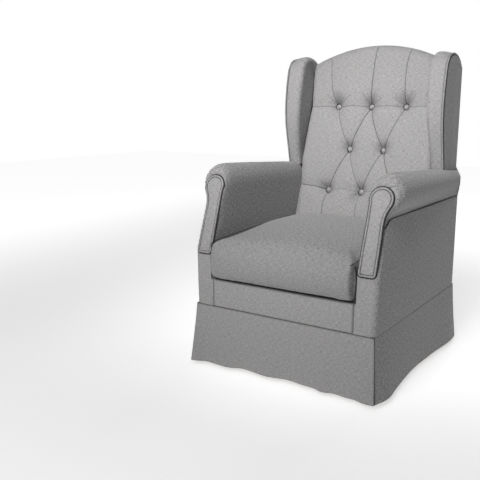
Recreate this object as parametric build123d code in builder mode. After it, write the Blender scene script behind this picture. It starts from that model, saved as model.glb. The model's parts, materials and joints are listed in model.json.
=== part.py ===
"""Upholstered wing chair on a hanging-link glide base.

Frame: millimetres, +Z up, origin at the centre of the footprint on the floor. The chair faces -Y.
Left and right are as seen by someone facing the chair, so left is -X.
Plan: one welded base stands on the floor; four equal links hang from it; the chair hangs from the
links' lower ends, so it swings fore and aft and stays level.
"""
import os

from build123d import *

# ---- overall shape -------------------------------------------------------------------------
BASE_X = 330.0  # half width of the upholstered body
BASE_Y = 378.0  # half depth of the upholstered body
SEAM_Z = 221.0  # seam between body and skirt
HEM_Z = 12.0  # bottom edge of the skirt
FLARE = 14.5  # how far the skirt stands out at its hem
SKIRT_T = 4.0
TOP_Z = 1124.0  # crest of the back
ARCH_R = 558.0  # radius of the arched back

# ---- glide mechanism -----------------------------------------------------------------------
PIVOT_Y = 150.0  # links sit this far in front of and behind the centre
UPPER_Z = 185.0  # pivots on the base posts
LOWER_Z = 60.0  # pivots on the chair hangers
LINK_END_R = 14.0
PIN_R = 5.0
BUSH_BORE_R = 5.05
BUSH_R = 9.0
HEAD_R = 9.0
HOLE_R = 5.05  # bolt holes through posts, hangers, nuts and spacers
SIDE_PLAY = 0.3  # gap beside each link
POST_X = (203.0, 209.0)
LINK_X = (215.0, 221.0)
HANGER_X = (227.0, 233.0)
RUNNER_X = (200.0, 230.0)
RUNNER_Y = 300.0
RUNNER_Z = (12.0, 37.0)
WALL = 1.5
CROSS_TUBE_Y = 245.0
STOP_FACE_Y = 217.8  # rubber stops catch the link ends here
CARRIAGE_X = (215.0, 245.0)
CARRIAGE_Y = 200.0
CARRIAGE_Z = (202.0, 216.0)
CARRIAGE_BOLT_R = 4.0
CARRIAGE_BOLT_DY = 30.0  # each side of a link

# ---- wooden frame --------------------------------------------------------------------------
BOARD = 22.0
RAIL_Z = (150.0, 300.0)
SIDE_RAIL_X = (296.0, 318.0)
FRONT_RAIL_Y = (-366.0, -344.0)
REAR_RAIL_Y = (345.0, 367.0)
SLAT_Z = (216.0, 238.0)
SLAT_HALF_Y = 40.0
POST_BOARD_X = (285.0, 307.0)  # arm posts, arm rails, back posts and wing boards
BACK_POST_TOP = 1034.0
ARM_RAIL_Z = (578.0, 600.0)

# ---- upholstery ----------------------------------------------------------------------------
ARM_IN_X = 266.0  # inner face of the arms
ARM_WALL = 18.5  # padding on the inner face
ARM_FRONT_ROLL = (309.0, 643.0, 57.0)  # x, z and radius of the rolled arm, front end
ARM_REAR_ROLL = (301.0, 630.0, 36.0)
ARM_FRONT_Y = -374.0  # foot of the leaning arm front
ARM_LEAN_Z = 410.0
ARM_LEAN = 0.33  # backward lean, y per z
FACING_T = 7.0
PIPING = 3.5
CUSHION_X = 262.0
CUSHION_FRONT_Y = -392.0
DECK_Z = (304.0, 318.0)
PAD_BOTTOM_Z = 320.0
PAD_HALF_X = 264.0
BACK_LEAN = 0.22  # lean of the padded face, y per z
WEB_LEAN = 0.1303  # lean of the webbing behind it
WEB_Y = 249.0  # webbing plane at the pad's bottom
PUFF = 28.0  # padding in front of the button bottoms
BUTTON_ROW_Y = 236.0  # button bottoms at the lowest row
BUTTON_ROWS = ((571.0, (-139.0, 0.0, 139.0)), (731.0, (-69.4, 69.4)), (892.0, (-139.0, 0.0, 139.0)))
BUTTON_R = 9.0
TWINE_R = 1.2
WING_X = (252.0, 312.5)
WING_PANEL_X = (313.0, 318.0)
WING_BOTTOM_Z = 676.0

SIDES = (("left", -1), ("right", 1))
ENDS = (("front", -1), ("rear", 1))
BUTTONS = [(x, z) for z, xs in BUTTON_ROWS for x in xs]

os.makedirs("parts", exist_ok=True)


def save(piece, name):
    """Label a finished piece and write it as its own STEP."""
    piece.part.label = name
    export_step(piece.part, f"parts/{name}.step")


def block(x, y, z, mode=Mode.ADD):
    """Box between pairs of limits, in the part being built."""
    middle = [(low + high) / 2 for low, high in (x, y, z)]
    with Locations(tuple(middle)):
        Box(x[1] - x[0], y[1] - y[0], z[1] - z[0], mode=mode)


def facing(side, limits):
    """Limits along X for one side of the chair, from limits given for the right side."""
    return tuple(sorted(side * value for value in limits))


def rod_x(x, y, z, radius, bore=0.0, mode=Mode.ADD):
    """Round bar along X between the limits x, with an optional bore."""
    with BuildSketch(Plane.YZ.offset(x[0])) as section:
        with Locations((y, z)):
            Circle(radius)
            if bore:
                Circle(bore, mode=Mode.SUBTRACT)
    extrude(section.sketch, amount=x[1] - x[0], mode=mode)


def rod_y(x, y, z, radius, bore=0.0, mode=Mode.ADD):
    """Round bar along Y between the limits y, with an optional bore."""
    with BuildSketch(plane_at_y(y[1])) as section:
        with Locations((x, z)):
            Circle(radius)
            if bore:
                Circle(bore, mode=Mode.SUBTRACT)
    extrude(section.sketch, amount=y[1] - y[0], mode=mode)


def rod_z(x, y, z, radius, mode=Mode.ADD):
    """Round bar along Z between the limits z."""
    with BuildSketch(Plane.XY.offset(z[0])) as section:
        with Locations((x, y)):
            Circle(radius)
    extrude(section.sketch, amount=z[1] - z[0], mode=mode)


def plane_at_y(y):
    """Upright plane facing the front, at depth y; sketches on it use X and Z."""
    return Plane.XZ.offset(-y)


def side_profile(points, x, mode=Mode.ADD):
    """Straight-sided outline given in Y and Z, extruded between the limits x."""
    with BuildSketch(Plane.YZ.offset(x[0])) as outline:
        with BuildLine():
            Polyline(*points, close=True)
        make_face()
    extrude(outline.sketch, amount=x[1] - x[0], mode=mode)


def mirror_to_left(right, name):
    """Build and write the mirror image of a right-hand piece."""
    with BuildPart() as left:
        mirror(right.part, about=Plane.YZ)
    save(left, name)
    return left


def pad_face_y(z):
    """Depth of the padded back's front face at height z."""
    return BUTTON_ROW_Y - PUFF + BACK_LEAN * (z - BUTTON_ROWS[0][0])


def button_y(z):
    """Depth of a button's seat at height z."""
    return BUTTON_ROW_Y + BACK_LEAN * (z - BUTTON_ROWS[0][0])


def web_y(z):
    """Depth of the back webbing's front face at height z."""
    return WEB_Y + WEB_LEAN * (z - PAD_BOTTOM_Z)


def arch_z(x, drop=0.0):
    """Height of the arched top at x, lowered by drop."""
    return TOP_Z - drop - ARCH_R + (ARCH_R**2 - x**2) ** 0.5


# ============================================================================================
# Base: stands still on the floor
# ============================================================================================
FOOT_X = (RUNNER_X[0] + RUNNER_X[1]) / 2
FOOT_Y = 275.0

with BuildPart() as base_feet:
    for _, side in SIDES:
        for _, end in ENDS:
            rod_z(side * FOOT_X, end * FOOT_Y, (0.0, RUNNER_Z[0]), 14.0)
save(base_feet, "base_feet")


def post_profile(y):
    """Base post: a plate with a round top about its pivot."""
    half = LINK_END_R
    block_low = RUNNER_Z[1]
    with Locations((y, UPPER_Z)):
        Circle(half)
    with Locations((y, (block_low + UPPER_Z) / 2)):
        Rectangle(2 * half, UPPER_Z - block_low)
    with Locations((y, UPPER_Z)):
        Circle(HOLE_R, mode=Mode.SUBTRACT)


for name, side in SIDES:
    runner_x = facing(side, RUNNER_X)
    post_x = facing(side, POST_X)
    with BuildPart() as runner:
        block(runner_x, (-RUNNER_Y, RUNNER_Y), RUNNER_Z)
        hollow_x = (runner_x[0] + WALL, runner_x[1] - WALL)
        hollow_z = (RUNNER_Z[0] + WALL, RUNNER_Z[1] - WALL)
        block(hollow_x, (-RUNNER_Y, RUNNER_Y), hollow_z, mode=Mode.SUBTRACT)
        for _, end in ENDS:
            with BuildSketch(Plane.YZ.offset(post_x[0])):
                post_profile(end * PIVOT_Y)
            extrude(amount=post_x[1] - post_x[0])
    save(runner, f"{name}_floor_runner")

with BuildPart() as runner_end_caps:
    for _, side in SIDES:
        for _, end in ENDS:
            cap_x = facing(side, RUNNER_X)
            cap_y = tuple(sorted((end * RUNNER_Y, end * (RUNNER_Y + 4.0))))
            block(cap_x, cap_y, RUNNER_Z)
save(runner_end_caps, "runner_end_caps")

with BuildPart() as base_cross_tubes:
    for _, end in ENDS:
        y = end * CROSS_TUBE_Y
        block((-RUNNER_X[0], RUNNER_X[0]), (y - 10, y + 10), (15, 35))
        block((-RUNNER_X[0], RUNNER_X[0]), (y - 8.5, y + 8.5), (16.5, 33.5), mode=Mode.SUBTRACT)
save(base_cross_tubes, "base_cross_tubes")

with BuildPart() as bump_stops:
    for _, side in SIDES:
        for _, end in ENDS:
            stop_y = tuple(sorted((end * STOP_FACE_Y, end * (STOP_FACE_Y + 12.0))))
            block(facing(side, (213.0, 223.0)), stop_y, (RUNNER_Z[1], 80.0))
save(bump_stops, "bump_stops")

HEAD_T = 2.8
LINK_PLAY_X = (LINK_X[0] - SIDE_PLAY, LINK_X[1] + SIDE_PLAY)
NUT_R = 8.5

with BuildPart() as upper_pivot_pins:
    for _, side in SIDES:
        for _, end in ENDS:
            y = end * PIVOT_Y
            rod_x(facing(side, (POST_X[0] - 7.0, LINK_PLAY_X[1])), y, UPPER_Z, PIN_R)
            rod_x(facing(side, (LINK_PLAY_X[1], LINK_PLAY_X[1] + HEAD_T)), y, UPPER_Z, HEAD_R)
save(upper_pivot_pins, "upper_pivot_pins")

with BuildPart() as upper_pivot_nuts:
    for _, side in SIDES:
        for _, end in ENDS:
            nut_x = facing(side, (POST_X[0] - 6.0, POST_X[0]))
            with BuildSketch(Plane.YZ.offset(nut_x[0])):
                with Locations((end * PIVOT_Y, UPPER_Z)):
                    RegularPolygon(NUT_R, 6)
                    Circle(HOLE_R, mode=Mode.SUBTRACT)
            extrude(amount=nut_x[1] - nut_x[0])
save(upper_pivot_nuts, "upper_pivot_nuts")

with BuildPart() as upper_spacers:
    for _, side in SIDES:
        for _, end in ENDS:
            spacer_x = facing(side, (POST_X[1], LINK_PLAY_X[0]))
            rod_x(spacer_x, end * PIVOT_Y, UPPER_Z, HEAD_R, HOLE_R)
save(upper_spacers, "upper_spacers")

# ============================================================================================
# Links: four equal hangers, each its own moving body
# ============================================================================================
for end_name, end in ENDS:
    for side_name, side in SIDES:
        y = end * PIVOT_Y
        link_x = facing(side, LINK_X)
        with BuildPart() as link:
            with BuildSketch(Plane.YZ.offset(link_x[0])):
                with Locations((y, UPPER_Z), (y, LOWER_Z)):
                    Circle(LINK_END_R)
                make_hull()
                with Locations((y, UPPER_Z), (y, LOWER_Z)):
                    Circle(BUSH_R, mode=Mode.SUBTRACT)
            extrude(amount=link_x[1] - link_x[0])
        save(link, f"{end_name}_{side_name}_link")
        with BuildPart() as bushes:
            rod_x(link_x, y, UPPER_Z, BUSH_R, BUSH_BORE_R)
            rod_x(link_x, y, LOWER_Z, BUSH_R, BUSH_BORE_R)
        save(bushes, f"{end_name}_{side_name}_link_bushes")

# ============================================================================================
# Carriage: the steel part of the chair that hangs in the links
# ============================================================================================
with BuildPart() as lower_pivot_pins:
    for _, side in SIDES:
        for _, end in ENDS:
            y = end * PIVOT_Y
            rod_x(facing(side, (LINK_PLAY_X[0] - 3.2, HANGER_X[1])), y, LOWER_Z, PIN_R)
            rod_x(facing(side, (HANGER_X[1], HANGER_X[1] + 4.5)), y, LOWER_Z, HEAD_R)
save(lower_pivot_pins, "lower_pivot_pins")

with BuildPart() as lower_pivot_clips:
    for _, side in SIDES:
        for _, end in ENDS:
            clip_x = facing(side, (LINK_PLAY_X[0] - 2.8, LINK_PLAY_X[0]))
            rod_x(clip_x, end * PIVOT_Y, LOWER_Z, 8.0, HOLE_R)
save(lower_pivot_clips, "lower_pivot_clips")

with BuildPart() as lower_spacers:
    for _, side in SIDES:
        for _, end in ENDS:
            spacer_x = facing(side, (LINK_PLAY_X[1], HANGER_X[0]))
            rod_x(spacer_x, end * PIVOT_Y, LOWER_Z, HEAD_R, HOLE_R)
save(lower_spacers, "lower_spacers")

CARRIAGE_BOLTS = [
    (side * (CARRIAGE_X[0] + CARRIAGE_X[1]) / 2, end * PIVOT_Y + step * CARRIAGE_BOLT_DY)
    for _, side in SIDES
    for _, end in ENDS
    for step in (-1, 1)
]

for name, side in SIDES:
    tube_x = facing(side, CARRIAGE_X)
    hanger_x = facing(side, HANGER_X)
    with BuildPart() as carriage_rail:
        block(tube_x, (-CARRIAGE_Y, CARRIAGE_Y), CARRIAGE_Z)
        hollow_x = (tube_x[0] + WALL, tube_x[1] - WALL)
        hollow_z = (CARRIAGE_Z[0] + WALL, CARRIAGE_Z[1] - WALL)
        block(hollow_x, (-CARRIAGE_Y, CARRIAGE_Y), hollow_z, mode=Mode.SUBTRACT)
        for x, y in CARRIAGE_BOLTS:
            if x * side > 0:
                rod_z(x, y, CARRIAGE_Z, CARRIAGE_BOLT_R + 0.1, mode=Mode.SUBTRACT)
        for _, end in ENDS:
            with BuildSketch(Plane.YZ.offset(hanger_x[0])):
                with Locations((end * PIVOT_Y, LOWER_Z)):
                    Circle(15.0)
                with Locations((end * PIVOT_Y, CARRIAGE_Z[0] - 10.0)):
                    Rectangle(40.0, 20.0)
                make_hull()
                with Locations((end * PIVOT_Y, LOWER_Z)):
                    Circle(HOLE_R, mode=Mode.SUBTRACT)
            extrude(amount=hanger_x[1] - hanger_x[0])
    save(carriage_rail, f"{name}_carriage_rail")

with BuildPart() as cross_slats:
    for _, end in ENDS:
        y = end * PIVOT_Y
        block((-SIDE_RAIL_X[0], SIDE_RAIL_X[0]), (y - SLAT_HALF_Y, y + SLAT_HALF_Y), SLAT_Z)
    for x, y in CARRIAGE_BOLTS:
        rod_z(x, y, SLAT_Z, CARRIAGE_BOLT_R + 0.1, mode=Mode.SUBTRACT)
save(cross_slats, "cross_slats")

with BuildPart() as carriage_bolts:
    for x, y in CARRIAGE_BOLTS:
        rod_z(x, y, (CARRIAGE_Z[0], SLAT_Z[1]), CARRIAGE_BOLT_R)
        rod_z(x, y, (CARRIAGE_Z[0] - 5.0, CARRIAGE_Z[0]), 7.0)
save(carriage_bolts, "carriage_bolts")

# ============================================================================================
# Wooden frame of the chair
# ============================================================================================
for name, side in SIDES:
    with BuildPart() as side_rail:
        block(facing(side, SIDE_RAIL_X), (FRONT_RAIL_Y[1], REAR_RAIL_Y[0]), RAIL_Z)
    save(side_rail, f"{name}_side_rail")

with BuildPart() as end_rails:
    block((-SIDE_RAIL_X[1], SIDE_RAIL_X[1]), FRONT_RAIL_Y, RAIL_Z)
    block((-POST_BOARD_X[0], POST_BOARD_X[0]), REAR_RAIL_Y, RAIL_Z)
save(end_rails, "end_rails")

with BuildPart() as corner_blocks:
    for _, side in SIDES:
        for y, inward in ((FRONT_RAIL_Y[1], 1), (REAR_RAIL_Y[0], -1)):
            x = side * SIDE_RAIL_X[0]
            corners = [(x, y), (x - side * 60.0, y), (x, y + inward * 60.0)]
            with BuildSketch(Plane.XY.offset(246.0)):
                with BuildLine():
                    Polyline(*corners, close=True)
                make_face()
            extrude(amount=50.0)
save(corner_blocks, "corner_blocks")

ARM_POST_PROFILE = [(-366, 300), (-366, 400), (-310, 578), (-262, 578), (-322, 390), (-322, 300)]
with BuildPart() as arm_frames:
    for _, side in SIDES:
        board_x = facing(side, POST_BOARD_X)
        side_profile(ARM_POST_PROFILE, board_x)
        block(board_x, (-300.0, 283.0), ARM_RAIL_Z)
save(arm_frames, "arm_frames")

BACK_POST_PROFILE = [
    (REAR_RAIL_Y[0], RAIL_Z[0]),
    (REAR_RAIL_Y[1], RAIL_Z[0]),
    (REAR_RAIL_Y[1], BACK_POST_TOP),
    (REAR_RAIL_Y[0], BACK_POST_TOP),
    (250.0, PAD_BOTTOM_Z),
    (250.0, 306.0),
    (REAR_RAIL_Y[0], 306.0),
]
for name, side in SIDES:
    with BuildPart() as back_post:
        side_profile(BACK_POST_PROFILE, facing(side, POST_BOARD_X))
    save(back_post, f"{name}_back_post")

RAIL_DROP = 11.0  # the top rail lies this far under the arched crest
with BuildPart() as back_top_rail:
    half = POST_BOARD_X[0]
    with BuildSketch(plane_at_y(REAR_RAIL_Y[1])):
        with BuildLine():
            low = arch_z(half, RAIL_DROP)
            ThreePointArc((-half, low), (0, TOP_Z - RAIL_DROP), (half, low))
            Polyline((half, low), (half, 985), (-half, 985), (-half, low))
        make_face()
    extrude(amount=BOARD)
save(back_top_rail, "back_top_rail")

with BuildPart() as back_lower_rail:
    block((-POST_BOARD_X[0], POST_BOARD_X[0]), (262.0, 284.0), (PAD_BOTTOM_Z, 370.0))
save(back_lower_rail, "back_lower_rail")

WING_FRONT = [(228, WING_BOTTOM_Z), (210, 740), (188, 873), (193, 990), (218, 1056), (258, 1081)]
WING_REAR_TOP = (344.0, 1046.0)


def wing_profile(plane, rear_y, grow=0.0, bottom=WING_BOTTOM_Z):
    """Sketch of a wing's side: curved front and top, straight back and bottom."""
    front = [(y - grow, z + grow * 0.5) for y, z in WING_FRONT[1:]]
    start = (WING_FRONT[0][0] - grow, bottom)
    rear_top = (rear_y, WING_REAR_TOP[1] + grow - (rear_y - WING_REAR_TOP[0]) * 0.35)
    with BuildSketch(plane) as outline:
        with BuildLine():
            Spline(start, *front, rear_top)
            Polyline(rear_top, (rear_y, bottom), start)
        make_face()
    return outline.sketch


with BuildPart() as wing_boards:
    for _, side in SIDES:
        board_x = facing(side, POST_BOARD_X)
        outline = [(245, 700), (215, 873), (222, 985), (262, 1045), (330, 1020), (330, 700)]
        side_profile(outline, board_x)
        behind_post_face = [(250, PAD_BOTTOM_Z), (REAR_RAIL_Y[0], BACK_POST_TOP),
                            (400, BACK_POST_TOP), (400, PAD_BOTTOM_Z)]
        side_profile(behind_post_face, board_x, mode=Mode.SUBTRACT)
save(wing_boards, "wing_boards")

# ============================================================================================
# Springing: webbing, deck and dust cover
# ============================================================================================
STRAP = 50.0
STRAP_T = 2.0

with BuildPart() as seat_webbing:
    low = (RAIL_Z[1], RAIL_Z[1] + STRAP_T)
    high = (low[1], low[1] + STRAP_T)
    for y in (-270.0, -135.0, 0.0, 135.0, 270.0):
        block((-SIDE_RAIL_X[1], SIDE_RAIL_X[1]), (y - STRAP / 2, y + STRAP / 2), low)
    for x in (-200.0, -100.0, 0.0, 100.0, 200.0):
        strap_x = (x - STRAP / 2, x + STRAP / 2)
        block(strap_x, (FRONT_RAIL_Y[0], REAR_RAIL_Y[1]), high)
        block(strap_x, FRONT_RAIL_Y, low)
        block(strap_x, REAR_RAIL_Y, low)
save(seat_webbing, "seat_webbing")

with BuildPart() as dust_cover:
    block((-SIDE_RAIL_X[0], SIDE_RAIL_X[0]), (FRONT_RAIL_Y[1], REAR_RAIL_Y[0]), (243.0, 244.0))
save(dust_cover, "dust_cover")

with BuildPart() as seat_deck:
    block((-POST_BOARD_X[0] + 1, POST_BOARD_X[0] - 1), (FRONT_RAIL_Y[0], 244.0), DECK_Z)
save(seat_deck, "seat_deck")


def leaning_strap(x, z, offset):
    """Strap in the leaning plane of the back, between limits x and z, offset behind the pad."""
    points = [
        (web_y(z[0]) + offset, z[0]),
        (web_y(z[1]) + offset, z[1]),
        (web_y(z[1]) + offset + STRAP_T, z[1]),
        (web_y(z[0]) + offset + STRAP_T, z[0]),
    ]
    side_profile(points, x)


with BuildPart() as back_webbing:
    for z in (450.0, 571.0, 731.0, 892.0):
        leaning_strap((-POST_BOARD_X[0], POST_BOARD_X[0]), (z - STRAP / 2, z + STRAP / 2), 0.0)
    for x in (-139.0, 0.0, 139.0):
        leaning_strap((x - STRAP / 2, x + STRAP / 2), (340.0, 1010.0), STRAP_T)
    for x, z in BUTTONS:
        rod_y(x, (200.0, 345.0), z, TWINE_R + 0.3, mode=Mode.SUBTRACT)
save(back_webbing, "back_webbing")

# ============================================================================================
# Upholstery
# ============================================================================================
with BuildPart() as seat_cushion:
    bottom = DECK_Z[1] + 1.0
    with BuildSketch(Plane.YZ.offset(-CUSHION_X)):
        with BuildLine():
            front = CUSHION_FRONT_Y
            Polyline((150, bottom), (front + 12, bottom), (front, bottom + 12), (front, 432),
                     (front + 8, 446))
            ThreePointArc((front + 8, 446), (-100, 478), (182, 466))
            Line((182, 466), (150, bottom))
        make_face()
    extrude(amount=2 * CUSHION_X)
    block((-270.0, 270.0), (front, front + 9), (330.0, 432.0))
save(seat_cushion, "seat_cushion")

PANEL_X = 262.0  # half width of the panel under the seat
with BuildPart() as front_panel:
    block((-PANEL_X, PANEL_X), (-BASE_Y, FRONT_RAIL_Y[0] - 0.5), (SEAM_Z, DECK_Z[1]))
save(front_panel, "front_panel")

with BuildPart() as arm_front_covers:
    for _, side in SIDES:
        cover_x = facing(side, (PANEL_X + 0.5, BASE_X))
        block(cover_x, (-BASE_Y, FRONT_RAIL_Y[0] - 0.5), (SEAM_Z, ARM_LEAN_Z - 4.0))
save(arm_front_covers, "arm_front_covers")

ARM_TOP = 712.0
LEAN_TOP_Y = ARM_FRONT_Y + ARM_LEAN * (ARM_TOP - ARM_LEAN_Z)
with BuildPart() as right_arm_pad:
    for y, (x, z, radius) in ((-380.0, ARM_FRONT_ROLL), (REAR_RAIL_Y[1] - 1, ARM_REAR_ROLL)):
        with BuildSketch(plane_at_y(y)):
            with Locations((x, z)):
                Circle(radius)
    loft()
    depth = (-380.0, REAR_RAIL_Y[1] - 1)
    block((ARM_IN_X, ARM_IN_X + ARM_WALL), depth, (PAD_BOTTOM_Z, 610.0))
    block((321.5, BASE_X), depth, (566.5, 612.0))
    block((ARM_IN_X + ARM_WALL, 321.5), (-400.0, 400.0), (300.0, 604.0), mode=Mode.SUBTRACT)
    block((230.0, POST_BOARD_X[1] + 0.8), (244.0, 400.0), (300.0, 760.0), mode=Mode.SUBTRACT)
    block((230.0, ARM_IN_X - 0.8), (140.0, 400.0), (300.0, 760.0), mode=Mode.SUBTRACT)
    lean_foot_z = ARM_LEAN_Z - 3.5
    front_profile = [
        (FRONT_RAIL_Y[0], PAD_BOTTOM_Z),
        (FRONT_RAIL_Y[0], lean_foot_z),
        (ARM_FRONT_Y - ARM_LEAN * 3.5, lean_foot_z),
        (LEAN_TOP_Y, ARM_TOP),
        (400.0, ARM_TOP),
        (400.0, PAD_BOTTOM_Z),
    ]
    side_profile(front_profile, (0.0, 400.0), mode=Mode.INTERSECT)
save(right_arm_pad, "right_arm_pad")
mirror_to_left(right_arm_pad, "left_arm_pad")

LEAN_PLANE = Plane(
    origin=(0, ARM_FRONT_Y - 0.2, ARM_LEAN_Z),
    x_dir=(1, 0, 0),
    z_dir=(0, -1, ARM_LEAN),
)


def facing_outline(grow=0.0):
    """Keyhole-shaped front of the arm: straight stem under a round head, on the leaning plane."""
    head = (307.0, 228.0)
    radius = 40.0 + grow
    inner, outer, waist = 272.0 - grow, 325.0 + grow, 320.0 + grow
    with BuildLine() as outline:
        Polyline((inner, 150), (inner, -grow), (outer, -grow), (waist, 172))
        Spline((waist, 172), (waist + 6, 190), (head[0] + radius, head[1]),
               tangents=((0, 1), (0, 1)))
        ThreePointArc((head[0] + radius, head[1]), (head[0], head[1] + radius),
                      (head[0] - radius, head[1]))
        Spline((head[0] - radius, head[1]), (inner, 150), tangents=((0, -1), (0, -1)))
    make_face(outline.edges())


with BuildPart() as right_arm_facing:
    with BuildSketch(LEAN_PLANE):
        facing_outline()
    extrude(amount=FACING_T)
save(right_arm_facing, "right_arm_facing")
mirror_to_left(right_arm_facing, "left_arm_facing")

with BuildPart() as right_piping:
    with BuildSketch(LEAN_PLANE):
        facing_outline(PIPING)
    extrude(amount=FACING_T + 1.0)
    with BuildSketch(LEAN_PLANE):
        facing_outline(0.05)
    extrude(amount=FACING_T + 1.0, mode=Mode.SUBTRACT)
with BuildPart() as facing_pipings:
    add(right_piping.part)
    mirror(right_piping.part, about=Plane.YZ)
save(facing_pipings, "facing_pipings")

SIDE_PANEL_TOP = 566.0
SIDE_PANEL_PROFILE = [
    (FRONT_RAIL_Y[0], SEAM_Z),
    (FRONT_RAIL_Y[0], ARM_LEAN_Z + (FRONT_RAIL_Y[0] - ARM_FRONT_Y) / ARM_LEAN),
    (ARM_FRONT_Y + ARM_LEAN * (SIDE_PANEL_TOP - ARM_LEAN_Z), SIDE_PANEL_TOP),
    (REAR_RAIL_Y[1], SIDE_PANEL_TOP),
    (REAR_RAIL_Y[1], SEAM_Z),
]
with BuildPart() as side_panels:
    for _, side in SIDES:
        side_profile(SIDE_PANEL_PROFILE, facing(side, (322.0, BASE_X)))
save(side_panels, "side_panels")


def back_outline(grow=0.0):
    """Front outline of the padded back: drawn in at half height, under an arched crest."""
    wide = PAD_HALF_X + grow
    top = TOP_Z + grow
    side = [(wide, 600.0), (258.0 + grow, 700.0), (252.0 + grow, 891.0), (wide, arch_z(wide) + grow)]
    with BuildLine() as outline:
        Line((wide, PAD_BOTTOM_Z), (wide, 600.0))
        Spline(*side)
        ThreePointArc(side[-1], (0, top), (-side[-1][0], side[-1][1]))
        Spline(*[(-x, z) for x, z in side])
        Polyline((-wide, 600.0), (-wide, PAD_BOTTOM_Z), (wide, PAD_BOTTOM_Z))
    make_face(outline.edges())


BUTTON_NORMAL = (0, -1, BACK_LEAN)
with BuildPart() as back_pad:
    with BuildSketch(plane_at_y(REAR_RAIL_Y[1])):
        back_outline()
    extrude(amount=260.0)
    pad_profile = [
        (pad_face_y(PAD_BOTTOM_Z), PAD_BOTTOM_Z),
        (pad_face_y(1075.0), 1075.0),
        (336.0, 1110.0),
        (350.0, TOP_Z + 1),
        (REAR_RAIL_Y[1], TOP_Z + 1),
        (REAR_RAIL_Y[1], 1040.0),
        (web_y(1040.0) - 1, 1040.0),
        (web_y(PAD_BOTTOM_Z) - 1, PAD_BOTTOM_Z),
    ]
    side_profile(pad_profile, (-400.0, 400.0), mode=Mode.INTERSECT)
    # room for the arched top rail under the crest
    with BuildSketch(plane_at_y(400.0)):
        with BuildLine():
            wide = 300.0
            low = arch_z(wide, RAIL_DROP - 0.5)
            ThreePointArc((-wide, low), (0, TOP_Z - RAIL_DROP + 0.5), (wide, low))
            Polyline((wide, low), (wide, 900), (-wide, 900), (-wide, low))
        make_face()
    extrude(amount=400.0 - REAR_RAIL_Y[0] + 1.0, mode=Mode.SUBTRACT)
    for x, z in BUTTONS:
        seat = Plane(origin=(x, button_y(z), z), z_dir=BUTTON_NORMAL)
        with Locations(seat):
            Cone(BUTTON_R + 1, 34.0, 34.0, align=(Align.CENTER, Align.CENTER, Align.MIN),
                 mode=Mode.SUBTRACT)
        rod_y(x, (200.0, 345.0), z, TWINE_R + 0.3, mode=Mode.SUBTRACT)
save(back_pad, "back_pad")

with BuildPart() as tufting_buttons:
    for x, z in BUTTONS:
        with BuildSketch(Plane(origin=(x, button_y(z), z), z_dir=BUTTON_NORMAL)):
            Circle(BUTTON_R)
        extrude(amount=5.0)
    fillet(tufting_buttons.faces().sort_by(Axis.Y)[: len(BUTTONS)].edges(), 2.0)
save(tufting_buttons, "tufting_buttons")

with BuildPart() as button_twines:
    for x, z in BUTTONS:
        rod_y(x, (button_y(z) + 0.4, web_y(z) + 12.0), z, TWINE_R)
save(button_twines, "button_twines")

with BuildPart() as button_anchors:
    for x, z in BUTTONS:
        rod_y(x, (web_y(z) + 6.0, web_y(z) + 9.0), z, 10.0, TWINE_R + 0.1)
save(button_anchors, "button_anchors")

POST_CLEARANCE = 0.5
with BuildPart() as right_wing_pad:
    extrude(wing_profile(Plane.YZ.offset(WING_X[0]), WING_REAR_TOP[0]),
            amount=WING_X[1] - WING_X[0])
    board_x = (POST_BOARD_X[0] - POST_CLEARANCE, POST_BOARD_X[1] + POST_CLEARANCE)
    side_profile([(241, 650), (241, 702), (211, 873), (218, 988), (260, 1049), (344.5, 1040),
                  (344.5, 650)], board_x, mode=Mode.SUBTRACT)
    with BuildSketch(plane_at_y(400.0)):
        back_outline(1.0)
    extrude(amount=400.0 - 200.0, mode=Mode.SUBTRACT)
    # room for the ends of the back webbing, beside the post
    side_profile([(web_y(650.0) - 1, 650), (web_y(1070.0) - 1, 1070), (400, 1070), (400, 650)],
                 (WING_X[0] - 10, POST_BOARD_X[0]), mode=Mode.SUBTRACT)
save(right_wing_pad, "right_wing_pad")
mirror_to_left(right_wing_pad, "left_wing_pad")

with BuildPart() as right_wing_panel:
    plane = Plane.YZ.offset(WING_PANEL_X[0])
    thickness = WING_PANEL_X[1] - WING_PANEL_X[0]
    extrude(wing_profile(plane, REAR_RAIL_Y[1], bottom=WING_BOTTOM_Z + 8), amount=thickness)
with BuildPart() as wing_outer_panels:
    add(right_wing_panel.part)
    mirror(right_wing_panel.part, about=Plane.YZ)
save(wing_outer_panels, "wing_outer_panels")

with BuildPart() as right_wing_piping:
    outer = wing_profile(plane, REAR_RAIL_Y[0], grow=PIPING, bottom=WING_BOTTOM_Z + 8)
    extrude(outer, amount=thickness)
    inner = wing_profile(plane, REAR_RAIL_Y[1] + 5, grow=0.05, bottom=WING_BOTTOM_Z - 8)
    extrude(inner, amount=thickness, mode=Mode.SUBTRACT)
with BuildPart() as wing_pipings:
    add(right_wing_piping.part)
    mirror(right_wing_piping.part, about=Plane.YZ)
save(wing_pipings, "wing_pipings")

with BuildPart() as outside_back_panel:
    with BuildSketch(plane_at_y(BASE_Y)):
        with BuildLine():
            right = [(-BASE_X, SEAM_Z), (BASE_X, SEAM_Z), (BASE_X, 580), (337, 612), (337, 640),
                     (318, 662), (318, 1030), (PAD_HALF_X, arch_z(PAD_HALF_X, 3))]
            left = [(-x, z) for x, z in right[:1:-1]] + [(-BASE_X, SEAM_Z)]
            Polyline(*right)
            ThreePointArc(right[-1], (0, TOP_Z - 3), left[0])
            Polyline(*left)
        make_face()
    extrude(amount=BASE_Y - REAR_RAIL_Y[1] - 1.0)
save(outside_back_panel, "outside_back_panel")

# ---- skirt: four hanging panels ------------------------------------------------------------


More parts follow.
